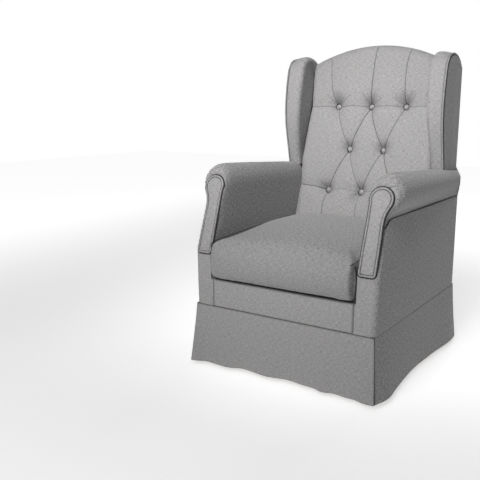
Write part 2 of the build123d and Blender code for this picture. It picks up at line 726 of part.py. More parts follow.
def skirt_panel(top_x, top_y, hem_x, hem_y):
    """Thin sheet hanging from the seam to the hem, between the limits at each height."""
    sections = []
    for z, x, y in ((SEAM_Z, top_x, top_y), (HEM_Z, hem_x, hem_y)):
        with BuildSketch(Plane.XY.offset(z)) as section:
            with Locations(((x[0] + x[1]) / 2, (y[0] + y[1]) / 2)):
                Rectangle(x[1] - x[0], y[1] - y[0])
        sections.append(section.sketch.face())
    loft(sections, ruled=True)


for name, end in ENDS:
    top_y = tuple(sorted((end * BASE_Y, end * (BASE_Y - SKIRT_T))))
    hem_y = tuple(sorted((end * (BASE_Y + FLARE), end * (BASE_Y + FLARE - SKIRT_T))))
    with BuildPart() as panel:
        skirt_panel((-BASE_X, BASE_X), top_y, (-BASE_X - FLARE, BASE_X + FLARE), hem_y)
    save(panel, f"{name}_skirt")

side_half = BASE_Y - SKIRT_T - 0.5
for name, side in SIDES:
    top_x = facing(side, (BASE_X - SKIRT_T, BASE_X))
    hem_x = facing(side, (BASE_X + FLARE - SKIRT_T, BASE_X + FLARE))
    with BuildPart() as panel:
        skirt_panel(top_x, (-side_half, side_half), hem_x, (-side_half - FLARE, side_half + FLARE))
    save(panel, f"{name}_skirt")
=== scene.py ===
"""Looks of the upholstered wing chair: fabrics, soft goods, finishes, light and camera.

Metres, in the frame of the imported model: +Z up, the chair faces -Y, left is -X.
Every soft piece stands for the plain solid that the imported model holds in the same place.
"""
import json
import math

import bmesh
import bpy
import numpy as np
from mathutils import Matrix, Vector


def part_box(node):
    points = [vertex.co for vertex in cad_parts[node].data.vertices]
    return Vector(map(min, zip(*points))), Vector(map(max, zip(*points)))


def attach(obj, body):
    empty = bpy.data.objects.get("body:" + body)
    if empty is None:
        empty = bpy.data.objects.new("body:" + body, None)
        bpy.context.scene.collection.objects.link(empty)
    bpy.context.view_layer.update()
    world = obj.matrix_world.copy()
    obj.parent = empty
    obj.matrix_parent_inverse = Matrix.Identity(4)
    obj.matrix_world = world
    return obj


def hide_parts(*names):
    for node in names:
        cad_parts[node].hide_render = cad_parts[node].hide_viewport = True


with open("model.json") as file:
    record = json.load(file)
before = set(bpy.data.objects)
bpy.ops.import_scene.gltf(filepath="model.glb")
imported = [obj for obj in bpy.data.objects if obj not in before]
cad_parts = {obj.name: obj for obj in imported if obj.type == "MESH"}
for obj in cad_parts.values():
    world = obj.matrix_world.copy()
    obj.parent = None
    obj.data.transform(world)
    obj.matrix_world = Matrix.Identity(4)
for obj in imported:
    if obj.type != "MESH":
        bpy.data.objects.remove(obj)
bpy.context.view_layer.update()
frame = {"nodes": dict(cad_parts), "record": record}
MM = 0.001
BODY = "chair"
SIDES = ((1, "right"), (-1, "left"))

# ---- Shape of the upholstery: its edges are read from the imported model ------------
SEAM_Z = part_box("front_panel")[0].z
PANEL_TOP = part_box("front_panel")[1].z
BASE_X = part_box("side_panels")[1].x
BASE_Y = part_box("outside_back_panel")[1].y
REAR_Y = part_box("back_pad")[1].y
TOP_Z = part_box("back_pad")[1].z
ARCH_R = 558 * MM  # radius of the back's arched crest
LEAN_FOOT = (-374 * MM, 410 * MM)  # y and z where the arm fronts start to lean back
LEAN = 0.33  # how far the arm fronts go back for each metre up
SLOPE = math.hypot(1, LEAN)
BACK_LEAN = 0.22
BUTTON_FOOT = (236 * MM, 571 * MM)  # y and z of the lowest row's button seats
BUTTONS = [(x * MM, z * MM) for z, xs in
           ((571, (-139, 0, 139)), (731, (-69.4, 69.4)), (892, (-139, 0, 139))) for x in xs]


def lean_y(z):
    """Depth of the arm front at height z."""
    return LEAN_FOOT[0] + LEAN * np.maximum(z - LEAN_FOOT[1], 0)


def seat_y(z):
    """Depth of the plane that holds the button seats and the pad's outer seam."""
    return BUTTON_FOOT[0] + BACK_LEAN * (z - BUTTON_FOOT[1])


def arch_z(x):
    """Height of the arched crest of the back at x."""
    return TOP_Z - ARCH_R + np.sqrt(ARCH_R**2 - np.asarray(x) ** 2)


# ---- Geometry helpers --------------------------------------------
def ease(t):
    """Smooth step from 0 to 1."""
    t = np.clip(t, 0.0, 1.0)
    return t * t * (3 - 2 * t)


def bell(distance, width, power=2):
    """Bump of height 1 that falls off over a width."""
    return np.exp(-((distance / width) ** power))


def smooth_path(points, count, closed=False):
    """Evenly spaced points on a Catmull-Rom curve through the given points."""
    p = np.array(points, float)
    if closed:
        p = np.vstack([p[-1], p, p[0], p[1]])
    else:
        p = np.vstack([2 * p[0] - p[1], p, 2 * p[-1] - p[-2]])
    t = np.linspace(0, 1, 25)[:-1, None]
    runs = []
    for a, b, c, d in zip(p[:-3], p[1:-2], p[2:-1], p[3:]):
        runs.append(0.5 * (2 * b + (c - a) * t + (2 * a - 5 * b + 4 * c - d) * t**2
                           + (3 * b - a - 3 * c + d) * t**3))
    fine = np.vstack(runs + [p[-2][None]])
    return resample(fine, count, closed)


def curve_mm(points, count, closed=False):
    """Smooth curve through points in millimetres."""
    return smooth_path(np.array(points) * MM, count, closed)


def resample(fine, count, closed=False):
    """The same polyline with count evenly spaced points."""
    if closed and np.linalg.norm(fine[0] - fine[-1]) > 1e-9:
        fine = np.vstack([fine, fine[0]])
    steps = np.linalg.norm(np.diff(fine, axis=0), axis=1)
    along = np.concatenate([[0], np.cumsum(steps)])
    wanted = np.linspace(0, along[-1], count + 1 if closed else count)
    if closed:
        wanted = wanted[:-1]
    return np.column_stack([np.interp(wanted, along, fine[:, k]) for k in range(fine.shape[1])])


def unit(rows):
    """Rows scaled to a length of 1."""
    return rows / np.maximum(np.linalg.norm(rows, axis=1, keepdims=True), 1e-12)


def directions(path, closed=False):
    """Unit direction of a path at each of its points."""
    return unit(np.roll(path, -1, 0) - np.roll(path, 1, 0) if closed else np.gradient(path, axis=0))


def path_normals(path):
    """Unit normals of a planar path, to the right of its direction."""
    step = directions(path)
    return np.column_stack([step[:, 1], -step[:, 0]])


def add_object(name, data):
    """New object in the scene."""
    obj = bpy.data.objects.new(name, data)
    bpy.context.scene.collection.objects.link(obj)
    return obj


def set_seam(mesh, shade):
    """Write each point's painted seam shade, which darkens the cloth's colour: 0 plain cloth, 1 deep in a
    seam.
    """
    mark = mesh.attributes.get("seam") or mesh.attributes.new("seam", "FLOAT", "POINT")
    mark.data.foreach_set("value", np.asarray(shade, np.float32).ravel())


def finish_mesh(name, verts, faces, seam=None):
    """Object from points and faces, smooth shaded, with outward normals and an optional seam mask."""
    mesh = bpy.data.meshes.new(name)
    mesh.from_pydata([tuple(v) for v in np.asarray(verts, float)], [], faces)
    if seam is not None:
        set_seam(mesh, seam)
    bm = bmesh.new()
    bm.from_mesh(mesh)
    bmesh.ops.remove_doubles(bm, verts=bm.verts, dist=1e-6)
    bmesh.ops.recalc_face_normals(bm, faces=bm.faces)
    for face in bm.faces:
        face.smooth = True
    bm.to_mesh(mesh)
    bm.free()
    return add_object(name, mesh)


def grid_faces(rows, cols):
    """Quads of an open grid of points."""
    return [(i * cols + k, i * cols + k + 1, (i + 1) * cols + k + 1, (i + 1) * cols + k)
            for i in range(rows - 1) for k in range(cols - 1)]


def grid_rim(rows, cols):
    """Indices round the edge of a grid of points."""
    return (list(range(cols)) + [i * cols + cols - 1 for i in range(1, rows)]
            + [(rows - 1) * cols + k for k in range(cols - 2, -1, -1)]
            + [i * cols for i in range(rows - 2, 0, -1)])


def band(upper, lower):
    """Quads between two closed rows of point numbers."""
    n = len(upper)
    return [(upper[k], upper[(k + 1) % n], lower[(k + 1) % n], lower[k]) for k in range(n)]


def interp_mm(value, at, sizes):
    """Interpolation through a table in millimetres, for a value in metres."""
    return np.interp(value, np.array(at) * MM, np.array(sizes) * MM)


def ring_faces(rows, cols, caps=True, closed_rows=False, first=0):
    """Quads between rings of points, counted from the first point, with flat end caps."""
    faces = []
    for i in range(rows if closed_rows else rows - 1):
        low, high = first + i * cols, first + (i + 1) % rows * cols
        for k in range(cols):
            n = (k + 1) % cols
            faces.append((low + k, low + n, high + n, high + k))
    if caps and not closed_rows:
        faces.append(tuple(range(first, first + cols))[::-1])
        faces.append(tuple(range(first + (rows - 1) * cols, first + rows * cols)))
    return faces


def skin(name, rings, caps=True, closed_rows=False, seam=None):
    """Closed surface through equal rings of points; open ends are capped with a flat face."""
    rings = np.asarray(rings, float)
    return finish_mesh(name, rings.reshape(-1, 3), ring_faces(*rings.shape[:2], caps, closed_rows), seam)


def tube(name, path, radius, sides=10, closed=True):
    """Round cord cover along a path of 3-D points."""
    path = np.asarray(path, float)
    tangent = directions(path, closed)
    side = np.cross(tangent, np.array([1.0, 0.0, 0.0]))
    weak = np.linalg.norm(side, axis=1) < 0.2
    side[weak] = np.cross(tangent[weak], np.array([0.0, 1.0, 0.0]))
    for i in range(1, len(side)):
        side[i] = side[i - 1] - tangent[i] * np.dot(side[i - 1], tangent[i])
        side[i] /= np.linalg.norm(side[i])
    other = np.cross(tangent, side)
    turn = np.linspace(0, 2 * math.pi, sides, endpoint=False)
    rings = (path[:, None] + radius * (np.cos(turn)[None, :, None] * side[:, None]
                                       + np.sin(turn)[None, :, None] * other[:, None]))
    return skin(name, rings, caps=not closed, closed_rows=closed)


def mirrored(obj):
    """Left-hand mirror image of a right-hand piece, as its own object."""
    name = obj.name.replace("right", "left")
    mesh = obj.data.copy()
    mesh.transform(Matrix.Scale(-1, 4, Vector((1, 0, 0))))
    mesh.flip_normals()
    mesh.name = name
    return add_object(name, mesh)


def both_sides(right):
    """Right-hand pieces and their mirror images, each list with its side's name."""
    return ("right", right), ("left", [mirrored(piece) for piece in right])


def box_grid(nx, ny, nz):
    """Points and quads of the surface of a cube from -1 to 1, cut into a grid."""
    index, points, faces = {}, [], []

    def corner(key):
        if key not in index:
            index[key] = len(points)
            points.append([2 * key[0] / nx - 1, 2 * key[1] / ny - 1, 2 * key[2] / nz - 1])
        return index[key]

    for axis, (na, nb, top) in enumerate(((ny, nz, nx), (nz, nx, ny), (nx, ny, nz))):
        for end in (0, top):
            for a in range(na):
                for b in range(nb):
                    quad = []
                    for da, db in ((0, 0), (1, 0), (1, 1), (0, 1)):
                        key = [0, 0, 0]
                        key[axis] = end
                        key[(axis + 1) % 3] = a + da
                        key[(axis + 2) % 3] = b + db
                        quad.append(corner(tuple(key)))
                    faces.append(tuple(quad if end else quad[::-1]))
    return np.array(points), faces


# ---- Materials ---------------------------------------------------
def feed(tree, node, sockets):
    """Set or link inputs of a node, given by name or number."""
    for key, value in sockets.items():
        if isinstance(value, bpy.types.NodeSocket):
            tree.links.new(value, node.inputs[key])
        else:
            node.inputs[key].default_value = value
    return node


def add_node(tree, kind, sockets=None, **settings):
    """Shader node of a kind, with its settings and inputs."""
    node = tree.nodes.new("ShaderNode" + kind)
    for key, value in settings.items():
        setattr(node, key, value)
    return feed(tree, node, sockets or {})


def math_node(tree, operation, a, b=None):
    """Output of a math node on one or two values."""
    return add_node(tree, "Math", {0: a} if b is None else {0: a, 1: b}, operation=operation).outputs[0]


def object_place(tree):
    """Place on the object, in its own coordinates."""
    return add_node(tree, "TexCoord").outputs["Object"]


def new_material(name):
    """Node material; returns it with its tree and its Principled shader."""
    mat = bpy.data.materials.new(name)
    mat.use_nodes = True
    return mat, mat.node_tree, mat.node_tree.nodes["Principled BSDF"]


def colour_ramp(tree, value, colour, amount):
    """Colour from a darker to a lighter tone, for a value about 0.5."""
    ramp = add_node(tree, "ValToRGB", {0: value})
    for element, at, gain in zip(ramp.color_ramp.elements, (0.3, 0.7), (1 - amount, 1 + amount)):
        element.position = at
        element.color = [min(c * gain, 1.0) for c in colour] + [1.0]
    return ramp.outputs[0]


def relief(tree, height, strength, distance):
    """Bumped normal from a height."""
    return add_node(tree, "Bump", {"Strength": strength, "Distance": distance, "Height": height}).outputs[0]


def weave_group():
    """Plain weave on a flat plane: in a 2-D place, out a shade (about 0.5) and a height."""
    tree = bpy.data.node_groups.new("plain_weave", "ShaderNodeTree")
    tree.interface.new_socket("Place", in_out="INPUT", socket_type="NodeSocketVector")
    tree.interface.new_socket("Shade", in_out="OUTPUT", socket_type="NodeSocketFloat")
    tree.interface.new_socket("Height", in_out="OUTPUT", socket_type="NodeSocketFloat")
    start = tree.nodes.new("NodeGroupInput").outputs[0]

    def noise(across, up, detail, share):
        at = add_node(tree, "Mapping", {"Vector": start, "Scale": (across, up, 1)}).outputs[0]
        sockets = {"Vector": at, "Scale": 1.0, "Detail": detail}
        node = add_node(tree, "TexNoise", sockets, noise_dimensions="2D")
        return math_node(tree, "MULTIPLY", node.outputs[0], share)

    def yarn(direction):
        sockets = {"Vector": start, "Scale": 175.0, "Distortion": 0.6}
        return add_node(tree, "TexWave", sockets, bands_direction=direction).outputs["Fac"]

    # slubs run along both sets of yarns: long one way, a yarn or two wide the other way
    slub, fine, speckle = 85, 480, 620
    shade = math_node(tree, "ADD", noise(slub, fine, 0.5, 0.50), noise(fine, slub, 0.5, 0.42))
    shade = math_node(tree, "ADD", shade, noise(speckle, speckle, 1.0, 0.08))
    threads = math_node(tree, "MULTIPLY", yarn("X"), yarn("Y"))
    height = math_node(tree, "ADD", math_node(tree, "MULTIPLY", threads, 0.5), shade)
    feed(tree, tree.nodes.new("NodeGroupOutput"), {"Shade": shade, "Height": height})
    return tree


WEAVE = weave_group()
# painted seam shade: where the seam attribute is 1 the cloth's colour is darkened by this share
SEAM_DEPTH = 0.92  # share of the light that is lost at the bottom of a seam


def fabric(name, colour, contrast=0.5, bump=0.22):
    """Heathered woven cloth: the weave is laid on each face of the piece and blended by its normal; the
    seam attribute paints shade into its colour.
    """
    mat, tree, shader = new_material(name)
    at = add_node(tree, "SeparateXYZ", {0: object_place(tree)}).outputs
    facing = add_node(tree, "SeparateXYZ", {0: add_node(tree, "NewGeometry").outputs["Normal"]}).outputs
    shades, heights, weights = [], [], []
    # the slubs read stronger on the sides and the tops than on the smooth front faces
    for axis, (a, b, gain) in enumerate(((1, 2, 2.9), (0, 2, 0.8), (0, 1, 1.8))):
        flat = add_node(tree, "CombineXYZ", {0: at[a], 1: at[b]}).outputs[0]
        shade, height = add_node(tree, "Group", {0: flat}, node_tree=WEAVE).outputs
        weight = math_node(tree, "POWER", math_node(tree, "ABSOLUTE", facing[axis]), 6.0)
        strong = math_node(tree, "ADD", math_node(tree, "MULTIPLY", shade, gain), 0.5 * (1 - gain))
        weights.append(weight)
        shades.append(math_node(tree, "MULTIPLY", strong, weight))
        heights.append(math_node(tree, "MULTIPLY", height, weight))

    def total(parts):
        return math_node(tree, "ADD", math_node(tree, "ADD", parts[0], parts[1]), parts[2])

    weight = total(weights)
    cloth = colour_ramp(tree, math_node(tree, "DIVIDE", total(shades), weight), colour, 0.55 * contrast)
    # painted shade: the seam attribute darkens the cloth's colour in seams, creases, hollows and gaps
    seam = add_node(tree, "Attribute", attribute_name="seam").outputs["Fac"]
    lit = math_node(tree, "ADD", math_node(tree, "MULTIPLY", seam, -SEAM_DEPTH), 1.0)
    seam_shaded_cloth = add_node(tree, "Mix", data_type="RGBA", blend_type="MULTIPLY")
    feed(tree, seam_shaded_cloth, {"Factor": 1.0, "A": cloth, "B": lit})
    height = math_node(tree, "DIVIDE", total(heights), weight)
    feed(tree, shader, {"Base Color": seam_shaded_cloth.outputs["Result"],
                        "Normal": relief(tree, height, bump, 0.5 * MM), "Roughness": 0.92,
                        "Specular IOR Level": 0.18, "Sheen Weight": 0.22, "Sheen Roughness": 0.45})
    return mat


def speckled(name, colour, roughness, scale, amount, metallic=0.0, bump=0.1, stretch=(1, 1, 1)):
    """Moulded, painted, plated or wooden surface with fine variation in colour and relief."""
    mat, tree, shader = new_material(name)
    at = add_node(tree, "Mapping", {"Vector": object_place(tree), "Scale": stretch}).outputs[0]
    grain = add_node(tree, "TexNoise", {"Vector": at, "Scale": scale, "Detail": 5.0}).outputs[0]
    feed(tree, shader, {"Base Color": colour_ramp(tree, grain, colour, amount),
                        "Normal": relief(tree, grain, bump, 0.3 * MM),
                        "Roughness": roughness, "Metallic": metallic})
    return mat


GREY = (0.262, 0.2575, 0.2575)
UPHOLSTERY = fabric("upholstery_weave", GREY)
PIPING = fabric("piping_weave", GREY)
SKIRT = fabric("skirt_weave", GREY, bump=0.4)
BUTTON = fabric("button_weave", [c * 1.02 for c in GREY], contrast=0.45)

CAD_LOOKS = {
    "rubber": speckled("moulded_rubber", (0.025, 0.025, 0.026), 0.75, 900, 0.3, bump=0.2),
    "glide_steel": speckled("powder_coat", (0.035, 0.035, 0.037), 0.45, 1400, 0.25, bump=0.25),
    "black_plastic": speckled("cap_plastic", (0.02, 0.02, 0.02), 0.5, 1600, 0.2, bump=0.1),
    "zinc": speckled("zinc_plate", (0.55, 0.56, 0.58), 0.34, 700, 0.14, metallic=1.0, bump=0.08),
    "bush_plastic": speckled("acetal", (0.72, 0.70, 0.64), 0.42, 500, 0.06, bump=0.05),
    "frame_wood": speckled("softwood", (0.55, 0.37, 0.20), 0.62, 30, 0.35, bump=0.3,
                           stretch=(1.0, 9.0, 9.0)),
    "webbing": fabric("jute_webbing", (0.30, 0.21, 0.12), bump=0.6),
    "lining": fabric("nonwoven_lining", (0.022, 0.022, 0.024), bump=0.3),
    "deck_pad": fabric("felt_pad", (0.52, 0.50, 0.46), bump=0.5),
}


def dress_cad():
    """Give every carried-over CAD node the finish of its slot."""
    slot_of = {s["node"]: s["material_slot"] for s in frame["record"]["subparts"]}
    for node, obj in frame["nodes"].items():
        look = CAD_LOOKS.get(slot_of[node], UPHOLSTERY)
        obj.data.materials.clear()
        obj.data.materials.append(look)


def upholster(obj, *stands_for, fill):
    """Place a padded piece of the chair's cloth."""
    return place(obj, UPHOLSTERY, "upholstery", *stands_for, fill=fill)


def place(obj, look, slot, *stands_for, fill=None):
    """Ride on the chair, take a finish, and stand for CAD nodes."""
    obj.data.materials.clear()
    obj.data.materials.append(look)
    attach(obj, BODY)
    if stands_for:
        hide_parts(*stands_for)
    return obj


def darken(obj, shade=1.0):
    """Give a whole piece one painted seam shade."""
    set_seam(obj.data, np.full(len(obj.data.vertices), shade))


def seam_shade_cord(name, path, radius, slot, shade=1.0, sides=8):
    """Cord painted dark at the bottom of a seam, standing for the shade there."""
    cord = tube(name, path, radius, sides, closed=False)
    darken(cord, shade)
    place(cord, PIPING, slot)


# ---- Tufted back -------------------------------------------------
PUFF = 29 * MM  # how far the tufted face stands over its button seats
PAD_FOOT_Z = 400 * MM
PAD_COLS, PAD_ROWS = 281, 371
LOW_ROWS_Z = 0.8  # the two lower rows of buttons are below this height
LOWEST_ROW_Z = min(z for _, z in BUTTONS)


def back_half_width(z):
    """Half width of the padded back: drawn in beside the wings, wider at both ends."""
    return interp_mm(z, (400, 458, 519, 590, 640, 680, 760, 891, 970, 1056, 1130),
                     (276, 275, 270, 266, 268, 271, 266, 256, 260, 266, 268))


def pleats():
    """Pleat lines of the tufting: points in x and z (mm), and how deep the fold is."""
    strong, middle, faint = 1.0, 0.7, 0.42
    diagonals = [((0, 892), (-69.4, 731), strong), ((139, 892), (69.4, 731), middle),
                 ((-139, 892), (-69.4, 731), faint), ((0, 892), (69.4, 731), middle),
                 ((-69.4, 731), (-139, 571), strong), ((69.4, 731), (0, 571), middle),
                 ((-69.4, 731), (0, 571), faint), ((69.4, 731), (139, 571), middle)]
    lines = [([a, ((a[0] + b[0]) / 2 - 3, (a[1] + b[1]) / 2), b], depth) for a, b, depth in diagonals]
    return lines + [
        ([(-139, 892), (-162, 945), (-176, 1000), (-184, 1060), (-188, 1092)], faint),
        ([(0, 892), (-2, 950), (-3, 1040), (2, 1122)], middle),
        ([(139, 892), (131, 955), (127, 1030), (132, 1085), (138, 1106)], middle),
        ([(-139, 571), (-150, 530), (-151, 480), (-148, 430)], middle),
        ([(0, 571), (-8, 530), (-9, 480), (-8, 430)], faint),
        ([(139, 571), (142, 530), (143, 480), (141, 430)], middle),
        ([(-128, 893), (-70, 897), (-12, 893)], faint),
        ([(12, 893), (70, 897), (128, 893)], faint),
        ([(-150, 892), (-190, 894), (-256, 892)], faint),
        ([(150, 893), (190, 894), (256, 893)], 0.3),
        ([(-139, 571), (-165, 576), (-200, 582), (-264, 586)], middle),
        ([(139, 571), (165, 576), (200, 582), (264, 586)], faint),
        ([(-125, 573), (-70, 580), (-15, 573)], 0.2),
        ([(15, 573), (70, 580), (125, 573)], 0.2),
    ]


def tufting_wrinkles():
    """Small folds that run out from the buttons: button, direction, length and depth."""
    draw = np.random.RandomState(11)
    folds = []
    for bx, bz in BUTTONS:
        for angle in np.arange(42, 142, 9.5):
            reach = draw.uniform(58, 92) if bz > LOW_ROWS_Z else draw.uniform(36, 60)
            folds.append((bx, bz, angle + draw.uniform(-3, 3), reach * MM, draw.uniform(1.3, 2.3) * MM))
        for angle in np.arange(170, 370, 33):
            folds.append((bx, bz, angle + draw.uniform(-12, 12), draw.uniform(16, 27) * MM,
                          draw.uniform(0.7, 1.3) * MM))
        if bz == LOWEST_ROW_Z:
            spread = np.arange(196, 250, 9) if bx > -0.1 else np.arange(112, 176, 10)
            for angle in spread:
                folds.append((bx, bz, angle + draw.uniform(-2, 2), draw.uniform(46, 72) * MM,
                              draw.uniform(1.5, 2.4) * MM))
    return folds


def line_offset(x, z, line):
    """Offset in x and z from the nearest place on a smooth line (mm) to each point, and its length."""
    path = curve_mm(line, 13)
    best = np.full(x.shape, 1e9)
    off_x, off_z = np.zeros(x.shape), np.zeros(x.shape)
    for a, b in zip(path[:-1], path[1:]):
        d = b - a
        t = np.clip(((x - a[0]) * d[0] + (z - a[1]) * d[1]) / (d @ d), 0, 1)
        dx, dz = x - a[0] - t * d[0], z - a[1] - t * d[1]
        dist = np.hypot(dx, dz)
        near = dist < best
        best = np.where(near, dist, best)
        off_x, off_z = np.where(near, dx, off_x), np.where(near, dz, off_z)
    return best, off_x, off_z


def snap_to_pleats(x, z):
    """Move the grid's nearest points onto the pleats, so each fold has a sharp bottom."""
    pitch = 2.0 * MM
    for line, _ in pleats():
        dist, off_x, off_z = line_offset(x, z, line)
        wanted = np.clip((dist - 0.5 * pitch) * 1.5, 0, None)
        move = np.where(dist < 1.5 * pitch, (wanted - dist) / np.maximum(dist, 1e-9), 0)
        x, z = x + off_x * move, z + off_z * move
    return x, z


def tufted_height(x, z, edge):
    """Height of the tufted face over the plane of its button seats, and its mask of painted shade."""
    # the rim is rounded, more tightly where the wings hold it
    beside_wing = ease((z - 0.62) / 0.08) * (1 - ease((z - 1.0) / 0.08))
    rounding = 36 * MM - 12 * MM * beside_wing
    rim = np.sqrt(1 - (1 - np.clip(edge / rounding, 0, 1)) ** 2)
    fade = np.clip(edge / (10 * MM), 0, 1)
    valley, crease, shadow, sink, ring, wrinkle, gloom = (np.zeros(x.shape) for _ in range(7))
    # painted shade: a dark line is painted along each crease
    for line, depth in pleats():  # a wide valley, a sharp crease in it, and the dark line of the crease
        dist = line_offset(x, z, line)[0]
        valley = np.maximum(valley, (0.5 + 0.5 * depth) * bell(dist, 27 * MM, 1.5))
        crease = np.maximum(crease, depth * np.exp(-dist / (2.4 * MM)))
        shadow = np.maximum(shadow, depth**0.5 * bell(dist, 1.2 * MM))
    # painted shade: a dark ring in each button's recess and a soft shade above each button
    for bx, bz in BUTTONS:  # a deep hollow in a wide one, a dark ring, and the shade above the button
        r = np.hypot(x - bx, z - bz + (0 if bz > LOW_ROWS_Z else 3 * MM))
        core = np.exp(-np.maximum(r - 8 * MM, 0) / (13 * MM))
        wide = bell(np.hypot(x - bx, z - bz - 6 * MM), 38 * MM)
        sink = np.maximum(sink, 0.62 * core + 0.44 * wide)
        ring = np.maximum(ring, bell(r - 10 * MM, 2.6 * MM))
        above = 0.5 + 0.5 * (z - bz) / np.maximum(np.hypot(x - bx, z - bz), 1e-6)
        rise, tall = (12, 34) if bz > LOW_ROWS_Z else (4, 24)
        haze = np.hypot((x - bx) / (24 * MM), (z - bz - rise * MM) / (tall * MM))
        gloom = np.maximum(gloom, 0.42 * bell(haze, 1) * (0.3 + 0.7 * above))
    for bx, bz, angle, reach, depth in tufting_wrinkles():  # folds that fade out along their reach
        r = np.hypot(x - bx, z - bz)
        turn = np.arctan2(z - bz, x - bx) - math.radians(angle)
        across = r * np.sin(turn) / (1.6 * MM + 0.04 * r)
        window = ease((r - 9 * MM) / (9 * MM)) * (1 - ease((r - 0.45 * reach) / (0.55 * reach)))
        window = np.where(np.cos(turn) > 0, window, 0)
        wrinkle -= depth * window * (1 - 1.2 * across**2) * np.exp(-(across**2))
        # painted shade along each fold, added to the shade above the buttons
        gloom = gloom + 0.12 * depth / MM * window * np.exp(-2.2 * across**2) * (1 - gloom)
    height = PUFF * rim * (1 - 0.30 * valley) * (1 - 0.97 * np.clip(sink, 0, 1))
    height += (wrinkle - 3.6 * MM * crease * (1 - np.clip(1.2 * sink, 0, 0.9))) * fade
    seam = np.clip((0.3 + 0.7 * shadow) * shadow * fade + 0.75 * ring + gloom * fade, 0, 1)
    return height, seam


def make_back_pad():
    """Arched, button-tufted pad: a fine grid in front, wrapped over its edges to a flat rear."""
    u, v = np.meshgrid(np.linspace(-1, 1, PAD_COLS), np.linspace(0, 1, PAD_ROWS))
    x = u * 260 * MM
    for _ in range(4):  # the width depends on the height and the height on the width
        z = PAD_FOOT_Z + v * (arch_z(x) - PAD_FOOT_Z)
        x = u * back_half_width(z)
    inside = (slice(1, -1), slice(1, -1))
    x[inside], z[inside] = snap_to_pleats(x[inside], z[inside])
    edge = np.minimum(back_half_width(z) - np.abs(x), (arch_z(x) - z) * 0.98)
    height, seam = tufted_height(x, z, edge)
    front = np.stack([x, seat_y(z) - height, z], axis=-1)
    verts = front.reshape(-1, 3)
    faces, loop = grid_faces(PAD_ROWS, PAD_COLS), grid_rim(PAD_ROWS, PAD_COLS)
    border = verts[loop]
    rear = border.copy()
    rear[:, 1] = REAR_Y
    middle = border * 0.45 + rear * 0.55
    inward = np.array([0, 0, 0.75]) - rear  # to a point in the middle of the back
    inward[:, 1] = 0
    rear = rear + unit(inward) * 4 * MM
    first, n = len(verts), len(loop)
    verts = np.vstack([verts, middle, rear])
    middle, rear = range(first, first + n), range(first + n, first + 2 * n)
    faces += band(loop, middle) + band(middle, rear) + [tuple(rear)]
    seam = np.concatenate([seam.ravel(), np.zeros(2 * n)])
    pad = finish_mesh("tufted_back_pad", verts, faces, seam)
    return upholster(pad, "back_pad", fill=0.7)


def make_buttons():
    """Covered buttons: low domes with a turned-in rim, tilted with the back."""
    normal = Vector((0, -1, BACK_LEAN)).normalized()
    tilt = normal.to_track_quat("Z", "Y").to_matrix().to_4x4()
    profile = [(0.4, -2.0), (7.6, -2.0), (8.9, -0.6), (9.3, 1.0), (8.9, 2.6), (7.6, 4.1), (5.4, 5.2),
               (2.8, 5.8), (0.4, 6.0)]
    rings = smooth_path(profile, 20) * MM
    turns = np.linspace(0, 2 * math.pi, 28, endpoint=False)
    verts, faces = [], []
    for bx, bz in BUTTONS:
        sunk = 1.5 * MM if bz < LOW_ROWS_Z else -1.0 * MM
        seat = Matrix.Translation((bx, seat_y(bz) + sunk, bz)) @ tilt
        faces += ring_faces(len(rings), len(turns), first=len(verts))
        verts += [seat @ Vector((r * math.cos(a), r * math.sin(a), h)) for r, h in rings for a in turns]
    buttons = finish_mesh("covered_buttons", verts, faces)
    return place(buttons, BUTTON, "button_cover", "tufting_buttons")


def make_back_seams():
    """Cords painted dark in the sunken seams between the tufted pad, the arms and the wings, standing for
    the shade there.
    """
    z = np.linspace(435, 1050, 60) * MM
    right = np.column_stack([back_half_width(z) + 3.5 * MM, seat_y(z) - 7 * MM, z])
    for side, name in SIDES:
        seam_shade_cord(f"{name}_back_seam", right * (side, 1, 1), 3.2 * MM, "piping")


# ---- Arms --------------------------------------------------------
ARM_FRONT_SECTION = [
    (266, 405), (266, 460), (265.5, 520), (264.5, 565), (262, 605), (261, 635), (264, 660),
    (275, 683), (291, 696), (309, 700), (328, 697), (346, 687), (359, 671), (365.5, 652),
    (365, 632), (358, 613), (346, 598), (335, 588), (327.5, 579), (323, 566), (321, 548), (320, 532)]
ARM_REAR_SECTION = [
    (266, 405), (266, 450), (266, 510), (266, 560), (266, 600), (266.5, 625), (270, 643),
    (278, 657), (289, 664), (301, 666), (314, 664), (325, 657.5), (333, 647), (337, 634),
    (336.5, 620), (333, 606), (331, 594), (330, 584), (329.5, 577), (326, 566), (322, 548), (320, 532)]
ARM_SEAM_Z = 567 * MM
FRONT_Y = -300 * MM  # where the roll has its front section
ARM_COUNT = 170
HEAD_TURN = 0.66  # share of the section's length at the outer top of the facing's head


def arm_section(t, count):
    """Outline of the padded arm at t, from its front (0) to its rear (1)."""
    front, rear = np.array(ARM_FRONT_SECTION), np.array(ARM_REAR_SECTION)
    return curve_mm(front + (rear - front) * t, count)


def facing_side(count, grow):
    """The keyhole's edge from its inner foot over the head to its outer waist, in x and z."""
    flat = keyhole(grow, 400)
    start = np.argmin(np.hypot(flat[:, 0] - 276.5 * MM, flat[:, 1] - 4 * MM))
    flat = np.roll(flat, -start, axis=0)
    if flat[20, 1] < flat[0, 1]:
        flat = np.roll(flat[::-1], 1, axis=0)
    roll_seam = (ARM_SEAM_Z - LEAN_FOOT[1]) * SLOPE
    end = np.where((flat[:, 0] > 300 * MM) & (flat[:, 1] < roll_seam))[0][0]
    return resample(flat[:end], count)


def gathers(turn):
    """Small pleats where the roll's cover is drawn in round the head of the facing."""
    waves = np.cos(290 * turn) + 0.7 * np.cos(201 * turn + 1.0) + 0.6 * np.cos(137 * turn + 2.0)
    return waves * bell(turn - HEAD_TURN, 0.2, 4)


